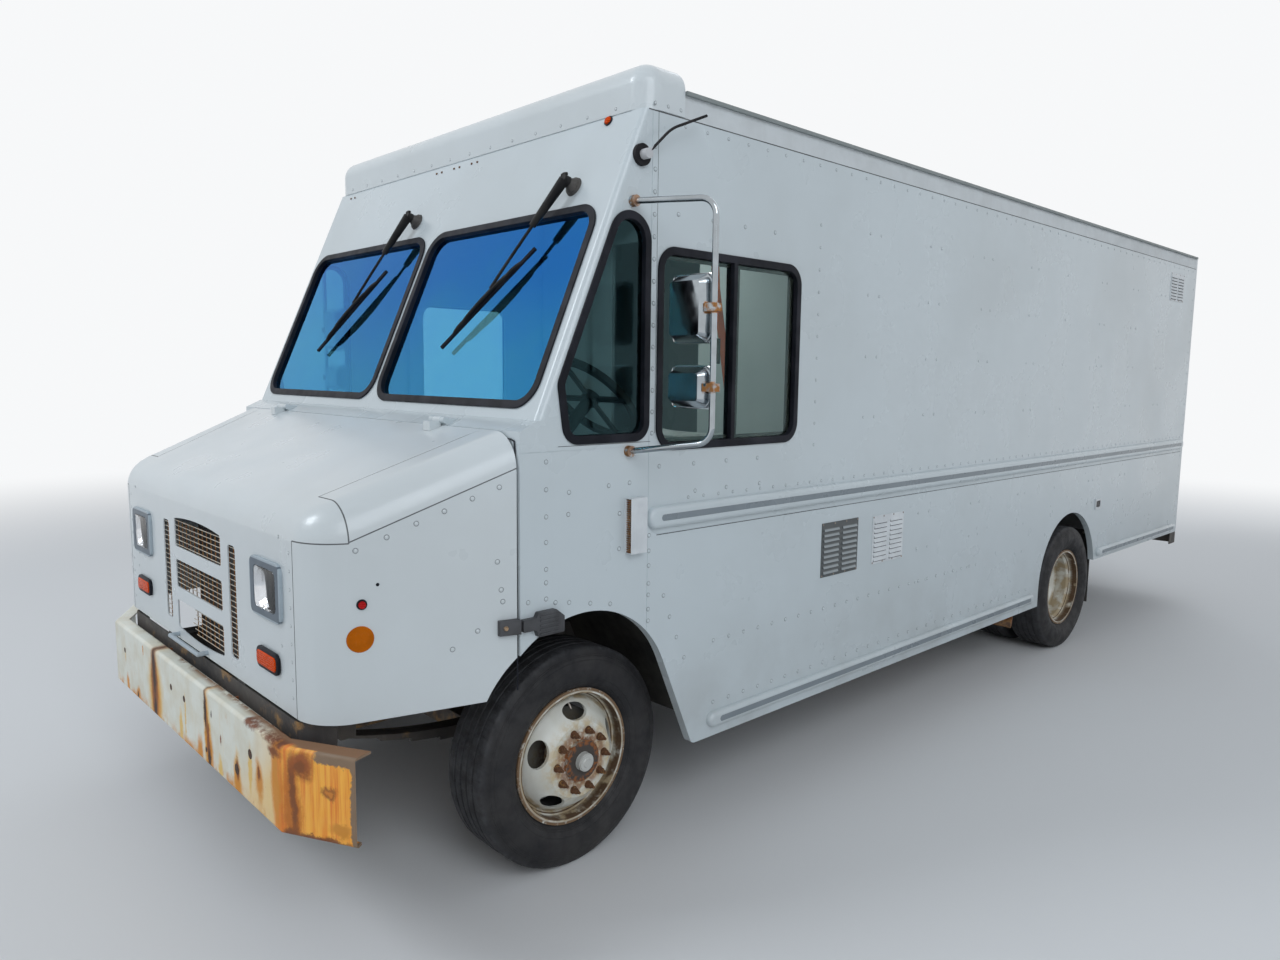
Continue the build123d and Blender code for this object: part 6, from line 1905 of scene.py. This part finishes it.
for x in (1.2, 1.207, 1.214):
    round_bar(scoop_screen, (x, behind(0.126), 1.21), (x, behind(0.126), 1.406), 0.0012, 6)
made_piece("Scoop_screen", scoop_screen, rusty_wire, "truck")
filler = bmesh.new()
block(filler, (1.188, behind(4.692), 0.948), (1.194, behind(4.768), 0.992), 0.001)
made_piece("Filler_door", filler, black_trim, "truck")

# Rub rails: half-round alloy rails screwed along the sides and painted, with a grey vinyl strip
# pressed into the channel of each.
dress("rub_rails", body_paint)
strip_vinyl = finish(
    "Strip vinyl",
    (0.215, 0.25, 0.275),
    (0.19, 0.225, 0.25),
    roughness=(0.25, 0.33),
    dirt=0.05,
    grain=0.05,
    mottle_scale=3,
)
strips = bmesh.new()
for turned, z, first, last in (
    (1, 1.323, 0.225, 6.54),
    (1, 0.45, 0.582, 3.69),
    (1, 0.612, 4.76, 6.5),
    (-1, 1.323, 1.32, 6.54),
    (-1, 0.45, 1.32, 3.69),
    (-1, 0.612, 4.76, 6.5),
):
    xs = sorted((turned * (body_half + 0.0192), turned * (body_half + 0.0258)))
    rounded_plate(
        strips,
        (xs[0], behind(first + 0.0585), z - 0.0121),
        (xs[1], behind(last - 0.0585), z + 0.0121),
        0,
        0.0118,
        0.0,
    )
made_piece("Rub_strips", strips, strip_vinyl, "truck")

# Mirrors: bright steel tube bent into a loop at each side, with a large flat glass over a small
# curved one. Their shells are plated; the clamps and the feet of the tube have rusted.
mirror_metal = finish(
    "Mirror plating",
    (0.42, 0.46, 0.49),
    (0.34, 0.37, 0.39),
    roughness=(0.06, 0.15),
    metal=1.0,
    waves=0.02,
    wave_scale=12,
    grain=0.02,
)
mirror_tree = mirror_metal.node_tree
mirror_z = along(mirror_tree, "Z")
out_x = out_x_of(mirror_tree)
clamp_rust = plus(
    mirror_tree, near(mirror_tree, mirror_z, 2.083, 0.017, 0.006),
    near(mirror_tree, mirror_z, 1.813, 0.017, 0.006)
)
on_tube = ramp(mirror_tree, out_x, 1.462, 1.466)
foot_rust = ramp(mirror_tree, out_x, 1.2, 1.235, 1.0, 0.0)
rust_here = times(
    mirror_tree,
    plus(mirror_tree, times(mirror_tree, clamp_rust, on_tube), foot_rust),
    ramp(mirror_tree, noise(mirror_tree, 45, 6), 0.35, 0.55),
)
lay_over(mirror_metal, rust_here, (0.33, 0.16, 0.06), 0.5)
dress("mirrors", mirror_metal, bevel=0.003)
mirror_glass = finish(
    "Mirror glass", (0.62, 0.66, 0.67), (0.58, 0.62, 0.63), roughness=(0.01, 0.03), metal=1.0,
    grain=0.0
)
mirror_x = 1.5
glasses = bmesh.new()
gaskets = bmesh.new()
for turned in (-1, 1):
    middle = turned * (mirror_x - 0.115)
    for z, tall in ((2.083, 0.235), (1.813, 0.146)):
        back = behind(0.262)
        rounded_plate(
            gaskets, (middle - 0.095, back - 0.002, z - tall / 2),
            (middle + 0.095, back + 0.004, z + tall / 2), 1, 0.035, 0.001
        )
        rounded_plate(
            glasses,
            (middle - 0.085, back + 0.003, z - tall / 2 + 0.01),
            (middle + 0.085, back + 0.0052, z + tall / 2 - 0.01),
            1,
            0.028,
            0.0005,
        )
        low, high = (middle - 0.094, back, z - tall / 2 + 0.001), (middle + 0.094, back, z + tall / 2 - 0.001)
        for depth, place in ((0.004, back - 0.002), (0.0025, back - 0.014)):
            side, size = "left" if turned > 0 else "right", "large" if tall > 0.2 else "small"
            name = f"Mirror_rim_{side}_{size}_{depth * 1000:.0f}"
            window_seal(name, low, high, 1, place, depth, 0.04, "truck", bright_metal)
made_piece("Mirror_gaskets", gaskets, seal_rubber, "truck")
made_piece("Mirror_glasses", glasses, mirror_glass, "truck")

# Wipers: each hangs from a pivot above the windshield on a long pressed arm with a thin rod,
# and its blade is a chain of sprung bows that hold the rubber. Black paint, worn at the pivot.
wiper_paint = finish(
    "Wiper paint",
    (0.008, 0.008, 0.009),
    (0.022, 0.021, 0.02),
    roughness=(0.45, 0.65),
    rust=0.06,
    rust_scale=30,
    shine=0.15,
)
pivot_up = 0.905
arm_reach = Vector((-0.255, -0.411))
blade_top = Vector((-0.084, -0.25))
blade_tip = Vector((-0.484, -0.64))


def on_glass(x, up, out):
    """A place on the windshield wall, by its distance up the slope from the glass's foot."""
    return Vector((x, behind(-0.274), 1.7)) + screen_up * up + screen_out * out


def spot(pivot_x, reach, out):
    """A place on the glass, by its reach from a wiper's pivot."""
    return on_glass(pivot_x + reach[0], pivot_up + reach[1], out)


pivots = bmesh.new()
arms = bmesh.new()
arm_rods = []
bows = []
blades = bmesh.new()
for pivot_x in (0.934, -0.192):
    start = Vector((0.0, 0.0))
    round_bar(pivots, spot(pivot_x, start, -0.001), spot(pivot_x, start, 0.01), 0.038, 24, 0.034)
    round_bar(pivots, spot(pivot_x, start, 0.01), spot(pivot_x, start, 0.036), 0.03, 20, 0.015)
    round_bar(arms, spot(pivot_x, start, 0.034), spot(pivot_x, start, 0.06), 0.021, 20, 0.017)
    head_end = arm_reach * 0.42
    for share, width, out in ((0.0, 0.02, 0.05), (0.5, 0.0165, 0.048)):
        first = spot(pivot_x, head_end * share, out)
        last = spot(pivot_x, head_end * (share + 0.5), out - 0.002)
        round_bar(arms, first, last, width, 12, width - 0.0035)
    arm_rods.append(
        [
            spot(pivot_x, head_end, 0.046), spot(pivot_x, arm_reach * 0.75, 0.043),
            spot(pivot_x, arm_reach, 0.036)
        ]
    )
    arm_rods.append(
        [
            spot(pivot_x, start + Vector((-0.012, 0.012)), 0.05),
            spot(pivot_x, Vector((-0.03, 0.024)), 0.055),
            spot(pivot_x, Vector((0.012, 0.018)), 0.056)
        ]
    )
    run = blade_tip - blade_top
    for share, reach, out in ((0.5, 0.34, 0.032), (0.25, 0.22, 0.025), (0.75, 0.22, 0.025)):
        middle = blade_top + run * share
        half = run * reach * 0.5 * (1.45 if share == 0.5 else 1.0)
        bows.append(
            [
                spot(pivot_x, middle - half, out - 0.009), spot(pivot_x, middle - half * 0.7, out),
                spot(pivot_x, middle + half * 0.7, out), spot(pivot_x, middle + half, out - 0.009)
            ]
        )
    first, last = spot(pivot_x, blade_top, 0.0155), spot(pivot_x, blade_tip, 0.0155)
    round_bar(blades, first, last, 0.009, 6)
    first, last = spot(pivot_x, blade_top, 0.0115), spot(pivot_x, blade_tip, 0.0115)
    round_bar(blades, first, last, 0.0035, 6)
piece = made_piece("Wiper_pivots", pivots, chassis_paint, "truck")
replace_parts(piece, "wipers")
piece = made_piece("Wiper_arms", arms, wiper_paint, "truck")
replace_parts(piece, "wipers")
for name, runs, radius in (("Wiper_rods", arm_rods, 0.0062), ("Wiper_bows", bows, 0.0078)):
    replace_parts(rods(name, runs, radius, wiper_paint, "truck"), "wipers")
piece = made_piece("Wiper_rubbers", blades, seal_rubber, "truck")
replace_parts(piece, "wipers")

# Antenna: a black moulded foot with a bright collar, and a dark coated whip.
antenna_finish = finish(
    "Antenna coating", (0.01, 0.01, 0.012), (0.025, 0.022, 0.024), roughness=(0.45, 0.6), grain=0.1,
    shine=0.15
)
antenna_tree = antenna_finish.node_tree
collar = near(antenna_tree, along(antenna_tree, "X"), body_half + 0.03, 0.015, 0.001)
collar_low = near(antenna_tree, along(antenna_tree, "Y"), behind(0.176), 0.019, 0.001)
lay_over(antenna_finish, times(antenna_tree, collar, collar_low), (0.55, 0.55, 0.56))
dress("antenna", antenna_finish, bevel=0.003)

# Studio: a plain pale floor that fades into a white room, three broad soft lamps, a small one
# in the cab, and a camera ahead of the truck's left front corner, below its roof.
floor_shape = bmesh.new()
bmesh.ops.create_grid(floor_shape, x_segments=1, y_segments=1, size=90)
floor_mesh = bpy.data.meshes.new("Studio floor")
floor_shape.to_mesh(floor_mesh)
floor_shape.free()
studio_floor = bpy.data.objects.new("Studio_floor", floor_mesh)
bpy.context.scene.collection.objects.link(studio_floor)
studio_floor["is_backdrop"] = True
white_room = (0.93, 0.94, 0.95, 1)


def seen_directly(tree):
    """1 for rays from the camera, from glossy surfaces and through glass."""
    rays = node_of(tree, "ShaderNodeLightPath")
    seen = reckon(tree, "MAXIMUM", rays.outputs["Is Camera Ray"], rays.outputs["Is Glossy Ray"])
    return reckon(tree, "MAXIMUM", seen, rays.outputs["Is Transmission Ray"])


floor_finish = bpy.data.materials.new("Studio floor")
floor_finish.use_nodes = True
floor_tree = floor_finish.node_tree
floor_shader = floor_tree.nodes["Principled BSDF"]
floor_shader.inputs["Base Color"].default_value = (0.74, 0.74, 0.74, 1)
floor_shader.inputs["Roughness"].default_value = 0.9
ground_x, ground_y = along(floor_tree, "X"), along(floor_tree, "Y")
from_truck = reckon(
    floor_tree,
    "SQRT",
    reckon(floor_tree, "ADD", times(floor_tree, ground_x, ground_x), times(floor_tree, ground_y, ground_y)),
)
far_off = times(floor_tree, ramp(floor_tree, from_truck, 6.5, 15.0), seen_directly(floor_tree))
far_floor = node_of(floor_tree, "ShaderNodeEmission", [("Color", white_room), ("Strength", 1.0)])
floor_mix = node_of(floor_tree, "ShaderNodeMixShader")
wire(floor_tree, far_off, floor_mix.inputs["Fac"])
wire(floor_tree, floor_shader.outputs["BSDF"], floor_mix.inputs[1])
wire(floor_tree, far_floor.outputs["Emission"], floor_mix.inputs[2])
wire(floor_tree, floor_mix.outputs["Shader"], floor_tree.nodes["Material Output"].inputs["Surface"])
floor_mesh.materials.append(floor_finish)

for name, place, aim, size, power in (
    ("Key", (-7, -14, 12), (0, -1, 1.2), 5, 930),
    ("Fill", (12, -7, 9), (0, -0.5, 1.2), 8, 700),
    ("Back", (-3, 13, 11), (0, 0, 1.5), 9, 480),
    ("Cab", (0.0, behind(0.85), 2.6), (0.3, behind(1.1), 1.5), 0.6, 6),
):
    lamp = bpy.data.lights.new(name, "AREA")
    lamp.size = size
    lamp.energy = power
    lamp.color = (0.88, 0.94, 1.0)
    light = bpy.data.objects.new(name, lamp)
    light.location = place
    light.rotation_euler = (Vector(aim) - Vector(place)).to_track_quat("-Z", "Y").to_euler()
    bpy.context.scene.collection.objects.link(light)
    if name == "Cab":
        light.visible_camera = light.visible_transmission = light.visible_glossy = False

world = bpy.data.worlds.new("Studio")
bpy.context.scene.world = world
world.use_nodes = True
sky = world.node_tree
sky_light = sky.nodes["Background"]
sky_light.inputs["Color"].default_value = (0.82, 0.87, 0.93, 1)
sky_light.inputs["Strength"].default_value = 0.42
seen_sky = node_of(sky, "ShaderNodeBackground", [("Color", white_room), ("Strength", 1.0)])
mixed = node_of(sky, "ShaderNodeMixShader")
wire(sky, seen_directly(sky), mixed.inputs["Fac"])
wire(sky, sky_light.outputs["Background"], mixed.inputs[1])
wire(sky, seen_sky.outputs["Background"], mixed.inputs[2])
wire(sky, mixed.outputs["Shader"], sky.nodes["World Output"].inputs["Surface"])

# The camera stands where the photo was taken from: its turn, dip and tilt in degrees, and its
# focal length in the photo's own pixels, were fitted to the truck's edges.
turn, dip, tilt = radians(46.498), radians(6.727), radians(0.696)
photo_width, focal_length = 1280, 895.96
film_width = 36
ahead = Vector((-sin(turn) * cos(dip), cos(turn) * cos(dip), -sin(dip)))
across = Vector((cos(turn), sin(turn), 0))
upright = across.cross(ahead)
right = across * cos(tilt) + upright * sin(tilt)
up = upright * cos(tilt) - across * sin(tilt)
lens_data = bpy.data.cameras.new("Camera")
lens_data.lens = focal_length / photo_width * film_width
lens_data.sensor_width = film_width
lens_data.clip_end = 200
camera = bpy.data.objects.new("Camera", lens_data)
placing = Matrix((right, up, -ahead)).transposed().to_4x4()
placing.translation = Vector((3.555, behind(-2.053), 1.855))
camera.matrix_world = placing
bpy.context.scene.collection.objects.link(camera)
bpy.context.scene.camera = camera
bpy.context.scene.view_settings.view_transform = "Standard"

low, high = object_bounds()
